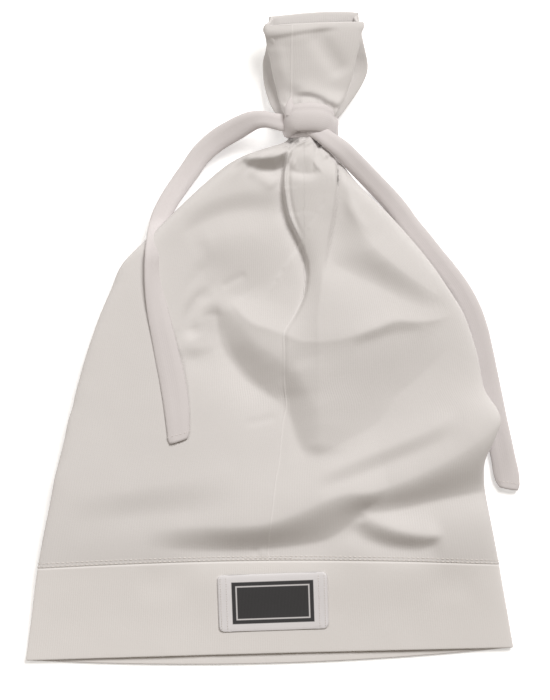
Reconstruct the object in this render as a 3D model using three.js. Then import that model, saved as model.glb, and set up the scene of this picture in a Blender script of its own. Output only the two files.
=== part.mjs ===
// A long jersey tube beanie lying flat on its back, in millimetres.
// X runs across the hat, +Y from the head opening to the tied top, +Z out of
// the front. The whole hat rests on the plane z = 0. The cloth is one tube:
// body, gathered neck and open ruff, with a doubled band sewn to its lower end
// and a jersey tie knotted round the neck.

import * as THREE from "three";

// Cloth and gaps.
const CROWN_WALL = 1.7;
const BAND_WALL = 2.4;
const GAP = 0.3;

// Exponent of the side folds' underside: 2 is round, less lifts it sooner.
const UNDER_CURL = 1.5;

// How far up the arch a pushed-in side fold still leans, as a share of the rise.
const TUCK_SPREAD = 0.35;

// Grid of the walls.
const TOP_STEPS = 30;
const UNDER_STEPS = 12;
const ROW_STEP = 8.5;

// The tie's free ends.
const TIE_WIDTH = 13;
const TIE_THICKNESS = 5.6;
const TAIL_SIDES = 10;
const TAIL_STEP = 8.5;

// The tie's turn round the neck, and the strap of the knot over it. lift: clear
// height above the neck, past the gap; from, to: angles round the neck; tilt:
// slant along the neck; ends: how much slimmer the two ends are.
const TURN = {
  width: 11, thickness: 3.4, lift: 0.1, from: 0, to: 2 * Math.PI, steps: 32, tilt: 0, ends: 0,
};
const KNOT = {
  width: 13, thickness: 5, lift: TURN.lift + GAP + TURN.thickness,
  from: 0.08 * Math.PI, to: 0.9 * Math.PI, steps: 16, tilt: 0.16, ends: 0.3,
};

// Section of the turn and the strap: its sides, and how boxy it is (1 is round).
const STRIP_SIDES = 12;
const STRIP_ROUNDNESS = 0.7;

// The sewn label. cornerCut: share that the rounding takes off the corners, and
// cornerPower: how near the corners it stays.
const LABEL = {
  x: 1.9, y: -146.6, width: 61, height: 32, tilt: 0.035, thickness: 0.8,
  cornerCut: 0.06, cornerPower: 8, around: 24, scales: [0.25, 0.5, 0.75, 1],
};

const FINISHES = {
  jersey: { color: 0xe6ddd2, roughness: 0.95 },
  tie: { color: 0xe8e0d8, roughness: 0.95 },
  label: { color: 0xe4e2e2, roughness: 0.55 },
};

// Sections of the lying tube, from the band seam up to the ruff's rim.
// spine: y at the middle; left, right: the outline's two points; top: height;
// fold: height of the side fold; run: how far in from it the underside leaves
// the surface; floor: height of the underside; square: how boxy the arch is;
// tuck: how far the side folds are pushed in; reach: how far the back layer
// stands past the front one.
const SECTION_COLUMNS = [
  "spine", "leftX", "leftY", "rightX", "rightY", "top",
  "leftFold", "rightFold", "leftRun", "rightRun", "floor", "square", "tuck", "reach",
];

const CROWN_ROWS = namedRows(SECTION_COLUMNS, [
  [-123.5, -129.2, -128, 127.8, -125.7, 16, 5, 5, 12, 12, 0, 2.9, 0, 0],
  [-109, -126.3, -112, 125.1, -111.8, 18.2, 5.5, 5.5, 12, 12, 0, 2.9, 0, 0],
  [-89, -121.8, -90, 120.7, -89.6, 19.8, 6, 6.5, 12, 12, 0, 2.8, 0, 0],
  [-77, -119.6, -78, 119.3, -78.5, 20.4, 6, 7, 12, 13, 0, 2.8, 0, 0],
  [-66, -116.8, -67, 119.6, -67.4, 21, 6, 8.5, 12, 17, 0, 2.8, 0, 0],
  [-54, -114, -56, 124.6, -55.6, 21.6, 6.5, 10.5, 12, 22, 0, 2.7, 0, 0],
  [-44, -112, -46, 127.7, -46.3, 22, 6.5, 11.5, 12, 24, 0, 2.6, 0, 0],
  [-35, -109.5, -38, 126, -39.1, 22.2, 6.5, 11.5, 12, 24, 0, 2.6, 0, 0],
  [-22, -107, -27.5, 119, -27.5, 23, 7, 11.5, 12, 22, 0, 2.6, 0, 0],
  [2, -101.3, -7.5, 114.9, -7.5, 24, 7, 11.5, 12, 21, 0, 2.5, 0, 0],
  [24, -94.1, 13, 107.9, 13, 25, 7, 11.5, 13, 21, 0, 2.4, 0, 0],
  [44, -88, 27, 99.5, 27, 26, 7.5, 11, 14, 19, 0, 2.2, 0, 0],
  [61, -82, 41, 90, 41, 27, 8, 10, 15, 17, 0, 2, 0, 0],
  [76, -69, 54.5, 79, 54.5, 28, 8.5, 10, 16, 16, 0, 1.9, 0, 0],
  [88, -52, 71, 65, 70, 28.4, 9, 10, 16, 16, 0, 1.9, 0, 0],
  [96, -36.5, 85.5, 52, 82.5, 28.4, 10, 10, 16, 16, 0, 1.9, 0, 0],
  [102, -21.5, 97.5, 43.5, 92.5, 27.6, 11, 11, 15, 15, 0.6, 2, 0, 0],
  [106, -6, 104, 38.6, 100.5, 26, 12, 12, 14, 14, 2, 2, 0, 0],
  [108.6, 6.4, 108, 36, 106.8, 24, 13, 13, 13, 13, 3.4, 2, 0, 0],
  [111, 10.6, 111, 35, 111, 22.6, 13.4, 13.4, 12, 12, 4.3, 2, 0, 0],
  [122.5, 10.6, 122.5, 35, 122.5, 22.6, 13.4, 13.4, 12, 12, 4.3, 2, 0, 0],
  [128.5, 3, 128.5, 40, 128.5, 23.4, 13, 13, 16, 16, 3, 2.2, 0.1, 0],
  [135, -1.5, 135, 45.5, 135, 24.6, 12.5, 12.5, 17, 17, 1.4, 2.5, 0.16, 0],
  [145, -3.4, 145, 51, 145, 25, 12, 12, 17, 17, 0.3, 2.7, 0.2, 0],
  [155, -3.6, 155, 54.4, 155, 24.5, 12, 12, 17, 17, 0, 2.8, 0.2, 0],
  [165, -2.8, 165, 52, 165, 23, 11.5, 11.5, 17, 17, 0, 2.8, 0.18, 2],
  [174, -3.2, 173.5, 52.6, 174.5, 21, 10.5, 10.5, 17, 17, 0, 2.8, 0.15, 7.2],
]);

const BAND_ROWS = namedRows(SECTION_COLUMNS, [
  [-123.5, -129.2, -128, 127.8, -125.7, 16, 5, 5, 12, 12, 0, 2.9, 0, 0],
  [-134, -130.5, -137, 129.2, -134, 14.8, 5, 5, 11, 11, 0, 2.9, 0, -0.4],
  [-154, -133.1, -158, 132.6, -152.5, 12.4, 4.8, 4.8, 10, 10, 0, 3, 0, -2.4],
  [-175, -136, -179, 136, -171.8, 11.2, 4.6, 4.6, 9, 9, 0, 3, 0, -5.6],
]);

// Last rows of the two hollows, counted along the sections above. The cloth
// between them is packed solid inside the tie.
const HEAD_HOLLOW_END = 18;
const NECK_ROW = 19;
const RUFF_HOLLOW_END = 22;

// Folds of the front: height above the smooth arch (negative for a valley),
// the fold's width on the left and the right of its route, and the route.
const FOLD_COLUMNS = ["height", "leftWidth", "rightWidth", "route"];
const FOLDS = namedRows(FOLD_COLUMNS, [
  // tongue pleat under the knot, with the deep tuck on its left
  [6, 12, 7, [[22.5, 107], [23, 77], [23.6, 55], [23, 38], [19, 14]]],
  [-7, 5, 6, [[5, 96], [6.4, 82], [7.5, 60], [14, 36]]],
  [-3, 9, 9, [[42, 98], [39, 71], [40, 48]]],
  // roll along the left shoulder
  [3.5, 5, 7, [[8, 107], [-6, 104], [-21, 97]]],
  [-3.5, 5, 5, [[6, 96], [-5, 92], [-20, 92]]],
  // valley across the middle and the lip above it
  [-7, 9, 17, [[-26, 23], [-19, 7], [-8, -12], [3, -32], [16, -55], [24, -66]]],
  [4, 8, 10, [[-17, 15], [-2, 7], [19, -0.5], [40, 0], [66, 13]]],
  // upper right fold
  [-5, 8, 8, [[39, 39], [53, 43], [67, 35], [85, 24], [98, 17]]],
  [3, 10, 8, [[45, 72], [52, 57], [65, 48], [85, 34]]],
  // slack above the band
  [5, 12, 9, [[124, -54], [102, -67], [73, -78], [48, -86]]],
  [-7, 8, 9, [[120, -81], [92, -82], [78, -85], [58, -94]]],
  [-8, 8, 10, [[52, -83], [28, -95], [8, -106], [-16, -111], [-46, -112], [-76, -111]]],
  [-6, 6, 7, [[44, -88], [48, -101], [60, -110], [79, -114], [100, -110]]],
]);

// Where along its route, from either end, a fold starts and is at full height.
const FOLD_START = -0.02;
const FOLD_FULL = 0.16;
const FOLD_SAMPLES = 24;

// Shares of the arch's rise between which the folds fade in from the side folds.
const FOLD_FOOT = 0.1;
const FOLD_CROWN = 0.6;

// Halvings of the search for the band's height.
const HALVINGS = 20;

// Middle lines of the two tie tails, from the knot to their sewn ends.
const LEFT_TAIL = [
  [4.1, 118.2, 22.4], [-3, 120.4, 21.2], [-10, 120, 16.5], [-20, 115.5, 9], [-29.5, 110, 4.4],
  [-38, 102.5, 3], [-44, 94, 3.4], [-50, 85.5, 6.6], [-55.8, 76.5, 13.4], [-60.4, 67, 20],
  [-62.6, 57.5, 22.6], [-64, 47, 24.4], [-64.2, 36, 25], [-63, 24, 25.7], [-61, 12, 26.2],
  [-58.5, 0, 26.3], [-56, -12, 26], [-53.5, -24, 25.6], [-51.5, -37, 25], [-50.4, -50, 24.3],
  [-50.2, -57, 23.9],
];
const RIGHT_TAIL = [
  [33.4, 108.5, 28.2], [40, 103.6, 26.4], [46, 97.8, 22.4], [52.4, 91.7, 17], [59.2, 85.2, 11.4],
  [65.9, 78.5, 6.6], [72.2, 71.2, 3.9], [78, 63, 2.9], [84.5, 55, 2.9], [91.5, 46, 2.9],
  [98.5, 37, 2.9], [104.5, 27.5, 2.9], [109.5, 17, 2.9], [113.3, 5, 2.9], [116.6, -8, 2.9],
  [119.4, -21, 2.9], [122, -34, 2.9], [124.6, -47, 2.9], [127.5, -60, 2.9], [130.6, -73, 2.9],
  [133.4, -84, 2.9],
];

// Turns bare rows into objects with the named columns.
function namedRows(columns, rows) {
  return rows.map((row) => Object.fromEntries(columns.map((name, i) => [name, row[i]])));
}

// Value of every column between two rows, on a smooth curve through the table.
function rowAt(rows, place) {
  const last = rows.length - 1;
  const index = Math.min(Math.floor(place), last - 1);
  const part = place - index;
  const around = [-1, 0, 1, 2].map((k) => rows[THREE.MathUtils.clamp(index + k, 0, last)]);
  const result = {};
  for (const name of SECTION_COLUMNS) {
    const [a, b, c, d] = around.map((row) => row[name]);
    const slopeB = (c - a) / 2;
    const slopeC = (d - b) / 2;
    const p2 = part * part;
    const p3 = p2 * part;
    result[name] =
      (2 * p3 - 3 * p2 + 1) * b + (p3 - 2 * p2 + part) * slopeB +
      (3 * p2 - 2 * p3) * c + (p3 - p2) * slopeC;
  }
  return result;
}

// Places along a table, with a step of about ROW_STEP between them.
function placesAlong(rows, from, to) {
  const places = [];
  for (let i = from; i < to; i++) {
    const length = Math.hypot(
      rows[i + 1].spine - rows[i].spine,
      (rows[i + 1].leftX - rows[i].leftX) / 2,
    );
    const steps = Math.max(1, Math.round(length / ROW_STEP));
    for (let k = 0; k < steps; k++) {
      places.push(i + k / steps);
    }
  }
  places.push(to);
  return places;
}

// How much of a fold's height is left at a point of the plan.
function foldShare(fold, x, y) {
  let best = { distance: Infinity, side: 0, along: 0 };
  const points = fold.samples;
  for (let i = 0; i < points.length - 1; i++) {
    const [a, b] = [points[i], points[i + 1]];
    const [dx, dy] = [b.x - a.x, b.y - a.y];
    const t = THREE.MathUtils.clamp(((x - a.x) * dx + (y - a.y) * dy) / (dx * dx + dy * dy), 0, 1);
    const [ex, ey] = [x - a.x - t * dx, y - a.y - t * dy];
    const distance = Math.hypot(ex, ey);
    if (distance < best.distance) {
      best = { distance, side: dx * ey - dy * ex, along: (i + t) / (points.length - 1) };
    }
  }
  const width = best.side > 0 ? fold.leftWidth : fold.rightWidth;
  const ends =
    THREE.MathUtils.smoothstep(best.along, FOLD_START, FOLD_FULL) *
    THREE.MathUtils.smoothstep(1 - best.along, FOLD_START, FOLD_FULL);
  return ends * Math.exp(-((best.distance / width) ** 2));
}

for (const fold of FOLDS) {
  const route = fold.route.map(([x, y]) => new THREE.Vector2(x, y));
  fold.samples = new THREE.SplineCurve(route).getPoints(FOLD_SAMPLES);
}

// Height that all folds together add to the front at a point of the plan.
function foldHeight(x, y) {
  return FOLDS.reduce((sum, fold) => sum + fold.height * foldShare(fold, x, y), 0);
}

// Plan position on a section, across = -1 at its left fold and 1 at its right.
function planPoint(row, across, inset) {
  const half = (row.rightX - row.leftX) / 2 - inset;
  const middle = (row.rightX + row.leftX) / 2;
  const bulge = row.spine - (row.leftY + row.rightY) / 2;
  const x = middle + across * half;
  const y = THREE.MathUtils.lerp(row.leftY, row.rightY, (across + 1) / 2) + bulge * (1 - across ** 2);
  return { x, y, half, middle };
}

// Share of the arch's rise at a place across the section.
function archShare(across, square) {
  return Math.max(0, 1 - Math.abs(across) ** square) ** (1 / square);
}

// Pushes the side folds in, as a gathered tube does.
function tucked(plan, row, share) {
  const push = row.tuck * Math.exp(-((share / TUCK_SPREAD) ** 2));
  return plan.x + (plan.middle - plan.x) * push;
}

// Point of the front layer.
function frontPoint(row, across, inset) {
  const plan = planPoint(row, across, inset);
  const share = archShare(across, row.square);
  const fold = THREE.MathUtils.lerp(row.leftFold, row.rightFold, (across + 1) / 2);
  const cloth = foldHeight(plan.x, plan.y) * THREE.MathUtils.smoothstep(share, FOLD_FOOT, FOLD_CROWN);
  const z = fold + (row.top - inset - fold) * share + cloth;
  return new THREE.Vector3(tucked(plan, row, share), plan.y, z);
}

// Point of the back layer, flat on the surface between the two side folds.
function backPoint(row, across, inset) {
  const plan = planPoint(row, across, inset);
  const curl = (distance, run) => 1 - archShare(Math.max(0, 1 - distance / run), UNDER_CURL);
  const left = curl((1 + across) * plan.half, row.leftRun);
  const right = curl((1 - across) * plan.half, row.rightRun);
  const under = row.floor + inset;
  const z = under + (row.leftFold - under) * left + (row.rightFold - under) * right;
  const y = plan.y + row.reach * (1 - across ** 2);
  return new THREE.Vector3(tucked(plan, row, 1 - Math.max(left, right)), y, z);
}

// Closed ring of points round one section.
function ringOf(row, inset) {
  const ring = [];
  for (let i = 0; i < TOP_STEPS; i++) {
    ring.push(frontPoint(row, Math.sin(((2 * i) / TOP_STEPS - 1) * (Math.PI / 2)), inset));
  }
  for (let i = 0; i < UNDER_STEPS; i++) {
    ring.push(backPoint(row, Math.sin((1 - (2 * i) / UNDER_STEPS) * (Math.PI / 2)), inset));
  }
  return ring;
}

// Closed skin through a run of rings: capped with fans, or joined end to end.
function skin(rings, endless = false) {
  const count = rings[0].length;
  const positions = rings.flat().flatMap((p) => [p.x, p.y, p.z]);
  const index = [];
  const bands = endless ? rings.length : rings.length - 1;
  for (let r = 0; r < bands; r++) {
    const next = (r + 1) % rings.length;
    for (let i = 0; i < count; i++) {
      const j = (i + 1) % count;
      const [a, b, c, d] = [r * count + i, r * count + j, next * count + j, next * count + i];
      index.push(a, b, c, a, c, d);
    }
  }
  if (!endless) {
    for (const [r, turned] of [[0, true], [rings.length - 1, false]]) {
      const centre = rings[r].reduce((sum, p) => sum.add(p), new THREE.Vector3()).divideScalar(count);
      const hub = positions.length / 3;
      positions.push(centre.x, centre.y, centre.z);
      for (let i = 0; i < count; i++) {
        const j = (i + 1) % count;
        const [a, b] = turned ? [j, i] : [i, j];
        index.push(hub, r * count + a, r * count + b);
      }
    }
  }
  const geometry = new THREE.BufferGeometry();
  geometry.setAttribute("position", new THREE.Float32BufferAttribute(positions, 3));
  geometry.setIndex(index);
  return geometry;
}

// Body, neck and ruff: one wall with the head hollow below the tie and the
// ruff's hollow above it.
function crownGeometry() {
  const last = CROWN_ROWS.length - 1;
  const raised = CROWN_ROWS.map((row) => ({ ...row }));
  for (const name of ["spine", "leftY", "rightY"]) {
    raised[0][name] += GAP;
  }
  const ring = (place, inset) => ringOf(rowAt(raised, place), inset);
  const headHollow = placesAlong(raised, 0, HEAD_HOLLOW_END).reverse();
  const outside = placesAlong(raised, 0, last);
  const ruffHollow = placesAlong(raised, RUFF_HOLLOW_END, last).reverse();
  return skin([
    ...headHollow.map((place) => ring(place, CROWN_WALL)),
    ...outside.map((place) => ring(place, 0)),
    ...ruffHollow.map((place) => ring(place, CROWN_WALL)),
  ]);
}

// Doubled band, a tube open at both ends.
function bandGeometry() {
  const places = placesAlong(BAND_ROWS, 0, BAND_ROWS.length - 1);
  const outside = places.map((place) => ringOf(rowAt(BAND_ROWS, place), 0));
  const inside = places.map((place) => ringOf(rowAt(BAND_ROWS, place), BAND_WALL));
  return skin([...outside.reverse(), ...inside], true);
}

// Height of the band's front at a point of the plan.
function bandHeight(x, y) {
  const acrossOf = (row) => (2 * x - row.rightX - row.leftX) / (row.rightX - row.leftX);
  let [low, high] = [0, BAND_ROWS.length - 1];
  for (let i = 0; i < HALVINGS; i++) {
    const place = (low + high) / 2;
    const row = rowAt(BAND_ROWS, place);
    [low, high] = planPoint(row, acrossOf(row), 0).y > y ? [place, high] : [low, place];
  }
  const row = rowAt(BAND_ROWS, low);
  return frontPoint(row, acrossOf(row), 0).z;
}

// Woven label: a thin slab with rounded corners, bent over the band.
function labelGeometry() {
  const outline = (scale, lift) =>
    Array.from({ length: LABEL.around }, (_, i) => {
      const turn = (2 * Math.PI * i) / LABEL.around;
      const [c, s] = [Math.cos(turn), Math.sin(turn)];
      const round = 1 - LABEL.cornerCut * Math.sin(2 * turn) ** LABEL.cornerPower * scale;
      const reach = (scale * round) / Math.max(Math.abs(c), Math.abs(s));
      const u = (c * reach * LABEL.width) / 2;
      const v = (s * reach * LABEL.height) / 2;
      const x = LABEL.x + u * Math.cos(LABEL.tilt) - v * Math.sin(LABEL.tilt);
      const y = LABEL.y + u * Math.sin(LABEL.tilt) + v * Math.cos(LABEL.tilt);
      return new THREE.Vector3(x, y, bandHeight(x, y) + lift);
    });
  const bottom = LABEL.scales.map((scale) => outline(scale, GAP));
  const top = LABEL.scales.map((scale) => outline(scale, GAP + LABEL.thickness));
  return skin([...bottom, ...top.reverse()]);
}

// Sine or cosine of a round section, made boxier.
function boxy(value) {
  return Math.sign(value) * Math.abs(value) ** STRIP_ROUNDNESS;
}

// Strip of rounded section that follows the neck's outline at a distance.
function wrapRings({ width, thickness, lift, from, to, steps, tilt, ends }) {
  const neck = CROWN_ROWS[NECK_ROW];
  const neckMiddle = (neck.spine + CROWN_ROWS[NECK_ROW + 1].spine) / 2;
  const centre = new THREE.Vector3((neck.leftX + neck.rightX) / 2, neckMiddle, neck.leftFold);
  const rings = [];
  for (let i = 0; i <= steps; i++) {
    const part = i / steps;
    const angle = from + (to - from) * part;
    const [c, s] = [Math.cos(angle), Math.sin(angle)];
    const rise = s > 0 ? neck.top - neck.leftFold : neck.leftFold - neck.floor;
    const half = (neck.rightX - neck.leftX) / 2;
    const slim = 1 - ends * (2 * part - 1) ** 4;
    const ring = [];
    for (let k = 0; k < STRIP_SIDES; k++) {
      const turn = (-2 * Math.PI * k) / STRIP_SIDES;
      const side = boxy(Math.cos(turn)) * (width / 2) * slim;
      const out = boxy(Math.sin(turn)) * (thickness / 2) * slim;
      const offset = GAP + lift + (thickness / 2) * slim + out;
      ring.push(new THREE.Vector3(
        centre.x + (half + offset) * c,
        centre.y + side + tilt * (half + offset) * c,
        centre.z + (rise + offset) * s,
      ));
    }
    rings.push(ring);
  }
  return rings;
}

// The tie's turn, a ring of its own: the last section is the first one again.
function turnGeometry() {
  return skin(wrapRings(TURN).slice(0, -1), true);
}

// A smooth curve that a flat strip follows without rolling over: the strip's
// width stays level and its thickness stands up from the surface.
class LevelCurve extends THREE.CatmullRomCurve3 {
  computeFrenetFrames(segments) {
    const up = new THREE.Vector3(0, 0, 1);
    const tangents = [];
    const normals = [];
    const binormals = [];
    for (let i = 0; i <= segments; i++) {
      const tangent = this.getTangentAt(i / segments);
      const level = new THREE.Vector3().crossVectors(up, tangent).normalize();
      tangents.push(tangent);
      normals.push(level);
      binormals.push(new THREE.Vector3().crossVectors(tangent, level));
    }
    return { tangents, normals, binormals };
  }
}

// A tie tail: a flattened tube along its route, flat side down.
function tailGeometry(route) {
  const curve = new LevelCurve(route.map((p) => new THREE.Vector3(...p)));
  const section = new THREE.Shape();
  for (let i = 0; i < TAIL_SIDES; i++) {
    const turn = (2 * Math.PI * (i + 0.5)) / TAIL_SIDES;
    const wide = (TIE_WIDTH / 2) * Math.sin(turn);
    const high = (TIE_THICKNESS / 2) * Math.cos(turn);
    if (i === 0) {
      section.moveTo(wide, high);
    } else {
      section.lineTo(wide, high);
    }
  }
  section.closePath();
  return new THREE.ExtrudeGeometry(section, {
    steps: Math.round(curve.getLength() / TAIL_STEP),
    extrudePath: curve,
    bevelEnabled: false,
  });
}

function piece(name, geometry, finish) {
  const mesh = new THREE.Mesh(geometry, new THREE.MeshStandardMaterial({ ...finish, metalness: 0 }));
  mesh.name = name;
  return mesh;
}

const beanie = new THREE.Group();
beanie.add(
  piece("crown", crownGeometry(), FINISHES.jersey),
  piece("head_band", bandGeometry(), FINISHES.jersey),
  piece("label", labelGeometry(), FINISHES.label),
  piece("tie_wrap", turnGeometry(), FINISHES.tie),
  piece("tie_knot", skin(wrapRings(KNOT)), FINISHES.tie),
  piece("tail_left", tailGeometry(LEFT_TAIL), FINISHES.tie),
  piece("tail_right", tailGeometry(RIGHT_TAIL), FINISHES.tie),
);

export default beanie;
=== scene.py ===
"""Tie-top jersey beanie lying on its back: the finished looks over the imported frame.

The tables are in millimetres, as a pattern cutter writes them, and MM turns them
into the frame's metres. X runs across the hat, +Y from the head opening to the
tied top, and +Z out of the front.
"""

import logging
import math
from dataclasses import astuple, dataclass, field, fields
from enum import Enum
from typing import Callable, Protocol, Sequence

import bpy
import numpy as np
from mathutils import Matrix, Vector, noise
from mathutils.bvhtree import BVHTree


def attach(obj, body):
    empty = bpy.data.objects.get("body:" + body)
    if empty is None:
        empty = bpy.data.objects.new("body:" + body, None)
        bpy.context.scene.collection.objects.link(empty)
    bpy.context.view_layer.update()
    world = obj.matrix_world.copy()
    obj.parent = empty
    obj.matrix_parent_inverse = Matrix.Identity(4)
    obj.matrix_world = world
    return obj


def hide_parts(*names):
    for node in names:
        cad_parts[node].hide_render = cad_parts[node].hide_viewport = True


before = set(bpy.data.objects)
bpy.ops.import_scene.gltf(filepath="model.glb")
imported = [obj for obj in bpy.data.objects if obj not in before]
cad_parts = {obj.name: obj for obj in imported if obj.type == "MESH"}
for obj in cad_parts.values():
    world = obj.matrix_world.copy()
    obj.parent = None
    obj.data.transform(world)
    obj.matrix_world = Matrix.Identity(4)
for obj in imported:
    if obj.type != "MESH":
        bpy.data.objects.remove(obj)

MM = 0.001
LOG = logging.getLogger("beanie")
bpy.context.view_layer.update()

Point = tuple[float, float, float]
Plan = tuple[float, float]
Colour = tuple[float, float, float, float]
Array = np.ndarray
Object = bpy.types.Object
Material = bpy.types.Material
Socket = bpy.types.NodeSocket


def placed(name: str, data: bpy.types.ID) -> Object:
    """Makes an object of a mesh, lamp or camera and puts it in the scene.

    Args:
        name: Its name.
        data: What it shows.

    Returns:
        The object, at the origin.
    """
    made = bpy.data.objects.new(name, data)
    bpy.context.scene.collection.objects.link(made)
    return made


# ---------------------------------------------------------------- finishes


class Slot(Enum):
    """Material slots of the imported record."""

    JERSEY = "jersey"
    TIE_JERSEY = "tie_jersey"
    LABEL_SATIN = "label_satin"


class Nodes:
    """Short way of writing a material's node tree."""

    def __init__(self, material: Material) -> None:
        """Empties the tree and puts a Principled shader on its output.

        Args:
            material: The material to write.
        """
        material.use_nodes = True
        self.tree = material.node_tree
        self.tree.nodes.clear()
        self.shader = self.add("ShaderNodeBsdfPrincipled")
        output = self.add("ShaderNodeOutputMaterial")
        self.link(self.shader.outputs["BSDF"], output.inputs["Surface"])

    def add(self, kind: str, **values: object) -> bpy.types.Node:
        """Adds a node and sets its own properties.

        Args:
            kind: The node's Blender type.
            **values: Properties of the node.

        Returns:
            The new node.
        """
        node = self.tree.nodes.new(kind)
        for name, value in values.items():
            setattr(node, name, value)
        return node

    def link(self, source: Socket, target: Socket) -> None:
        """Joins two sockets."""
        self.tree.links.new(source, target)

    def feed(self, target: Socket, value: object) -> None:
        """Links a socket to the target, or sets the target's own value.

        Args:
            target: The input that is fed.
            value: A socket or a plain value.
        """
        if isinstance(value, Socket):
            self.link(value, target)
        else:
            target.default_value = value

    def shade(self, values: dict[str, object]) -> None:
        """Feeds the shader's inputs, given by their names."""
        for name, value in values.items():
            self.feed(self.shader.inputs[name], value)

    def cloth_place(self) -> tuple[Socket, Socket]:
        """Reads the UV map.

        Returns:
            The places across and along the flat cloth, in millimetres.
        """
        split = self.add("ShaderNodeSeparateXYZ")
        self.link(self.add("ShaderNodeUVMap", uv_map="cloth").outputs["UV"], split.inputs[0])
        return split.outputs[0], split.outputs[1]

    def math(self, operation: str, *values: object) -> Socket:
        """Adds a Math node.

        Args:
            operation: The node's operation.
            *values: Its inputs, each a number or a socket.

        Returns:
            The result's socket.
        """
        node = self.add("ShaderNodeMath", operation=operation)
        for target, value in zip(node.inputs, values):
            self.feed(target, value)
        return node.outputs[0]

    def blend(self, share: object, low: object, high: object) -> Socket:
        """Mixes two colours.

        Args:
            share: How much of the second colour, from 0 to 1.
            low: The first colour.
            high: The second colour.

        Returns:
            The mixed colour's socket.
        """
        node = self.add("ShaderNodeMix", data_type="RGBA")
        for target, value in ((0, share), (6, low), (7, high)):
            self.feed(node.inputs[target], value)
        return node.outputs[2]

    def noise(self, vector: Socket, scale: float, detail: float) -> Socket:
        """Adds a noise pattern.

        Args:
            vector: Where the pattern is read.
            scale: Its frequency.
            detail: Its octaves.

        Returns:
            The pattern's height, from 0 to 1.
        """
        node = self.add("ShaderNodeTexNoise")
        self.link(vector, node.inputs["Vector"])
        node.inputs["Scale"].default_value = scale
        node.inputs["Detail"].default_value = detail
        return node.outputs["Fac"]

    def bump(
        self, height: Socket, distance: float, strength: float, below: Socket | None = None
    ) -> Socket:
        """Adds a bump over another one.

        Args:
            height: The relief, from 0 to 1.
            distance: Its depth in metres.
            strength: Its share.
            below: The bump that it lies on.

        Returns:
            The normal's socket.
        """
        node = self.add("ShaderNodeBump")
        node.inputs["Strength"].default_value = strength
        node.inputs["Distance"].default_value = distance
        self.link(height, node.inputs["Height"])
        if below is not None:
            self.link(below, node.inputs["Normal"])
        return node.outputs["Normal"]


def toned(colour: Colour, share: float) -> Colour:
    """A paler or darker tone of a colour, no paler than white."""
    return tuple(min(1.0, share * part) for part in colour[:3]) + (1.0,)


@dataclass(frozen=True)
class JerseyFinish:
    """Cotton jersey with fine lengthwise wales, as a UV map in millimetres lays it.

    wale and course are the loops' spacings, bow how far a loop's legs lean, and
    knit_depth, mottle_depth and lint_depth reliefs in metres. mottle and lint_scale
    are the patterns' frequencies. The knit's hollows between loops are darkened
    with painted shade. seam names the attribute of a pressed seam, whose ridge is
    paled with a painted highlight.
    """

    name: str
    colour: Colour
    shade: Colour
    wale: float = 1.25
    course: float = 0.95
    bow: float = 1.3
    knit_depth: float = 0.00005
    # painted shade: how much and how dark the knit's hollows are shaded in colour
    knit_tint: float = 0.02
    hollow_tone: float = 0.62
    mottle: float = 26.0
    mottle_depth: float = 0.0006
    lint: Colour = (1.0, 0.99, 0.97, 1.0)
    lint_scale: float = 900.0
    lint_share: float = 0.07
    lint_depth: float = 0.00008
    roughness: float = 0.92
    specular: float = 0.18
    sheen: float = 0.06
    sheen_roughness: float = 0.6
    seam: str = ""
    seam_half: float = 0.7
    seam_depth: float = 0.0002
    # painted highlight: how much paler the seam's ridge is painted
    seam_tone: float = 1.12

    def material(self) -> Material:
        """Builds the knit.

        Returns:
            The material.
        """
        material = bpy.data.materials.new(self.name)
        nodes = Nodes(material)
        u, v = nodes.cloth_place()
        across = nodes.math("DIVIDE", u, self.wale)
        along = nodes.math("DIVIDE", v, self.course)
        rib = nodes.math("PINGPONG", across, 0.5)
        leg = nodes.math("FRACT", nodes.math("ADD", along, nodes.math("MULTIPLY", rib, self.bow)))
        loop = nodes.math("PINGPONG", leg, 0.5)
        knit = nodes.math("ADD", nodes.math("MULTIPLY", rib, 1.3), nodes.math("MULTIPLY", loop, 0.7))
        place = nodes.add("ShaderNodeTexCoord").outputs["Object"]
        soft = nodes.noise(place, self.mottle, 3.0)
        lint = nodes.noise(place, self.lint_scale, 2.0)
        base = nodes.blend(nodes.math("MULTIPLY", soft, 0.5), self.colour, self.shade)
        # Painted shade: the hollows between the knit's loops are darkened in colour.
        hollow = nodes.math("MULTIPLY", nodes.math("SUBTRACT", 1.0, knit), self.knit_tint)
        knit_shaded = nodes.blend(hollow, base, toned(self.shade, self.hollow_tone))
        flecked = nodes.blend(nodes.math("MULTIPLY", lint, self.lint_share), knit_shaded, self.lint)
        normal = None
        for height, depth, strength in (
            (soft, self.mottle_depth, 0.35), (knit, self.knit_depth, 0.8), (lint, self.lint_depth, 0.5)
        ):
            normal = nodes.bump(height, depth, strength, normal)
        if self.seam:
            flecked, normal = self.sewn(nodes, flecked, normal)
        nodes.shade({
            "Base Color": flecked, "Normal": normal, "Roughness": self.roughness,
            "Specular IOR Level": self.specular, "Sheen Weight": self.sheen,
            "Sheen Roughness": self.sheen_roughness,
        })
        return material

    def sewn(self, nodes: Nodes, colour: Socket, normal: Socket) -> tuple[Socket, Socket]:
        """Presses a seam into the cloth along the line where an attribute is nought,
        and pales it there with a painted highlight along its ridge.

        Args:
            nodes: The material's tree.
            colour: The cloth's colour.
            normal: The cloth's normal.

        Returns:
            The colour and the normal with the seam.
        """
        distance = nodes.add("ShaderNodeAttribute", attribute_name=self.seam).outputs["Fac"]
        ratio = nodes.math("DIVIDE", nodes.math("ABSOLUTE", distance), self.seam_half)
        near = nodes.math("SUBTRACT", 1.0, nodes.math("MINIMUM", ratio, 1.0))
        seamed = nodes.bump(near, self.seam_depth, 0.8, normal)
        # Painted highlight: the cloth over the seam's ridge is painted paler.
        seam_highlight = toned(self.colour, self.seam_tone)
        return nodes.blend(nodes.math("MULTIPLY", near, 0.8), colour, seam_highlight), seamed


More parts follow.
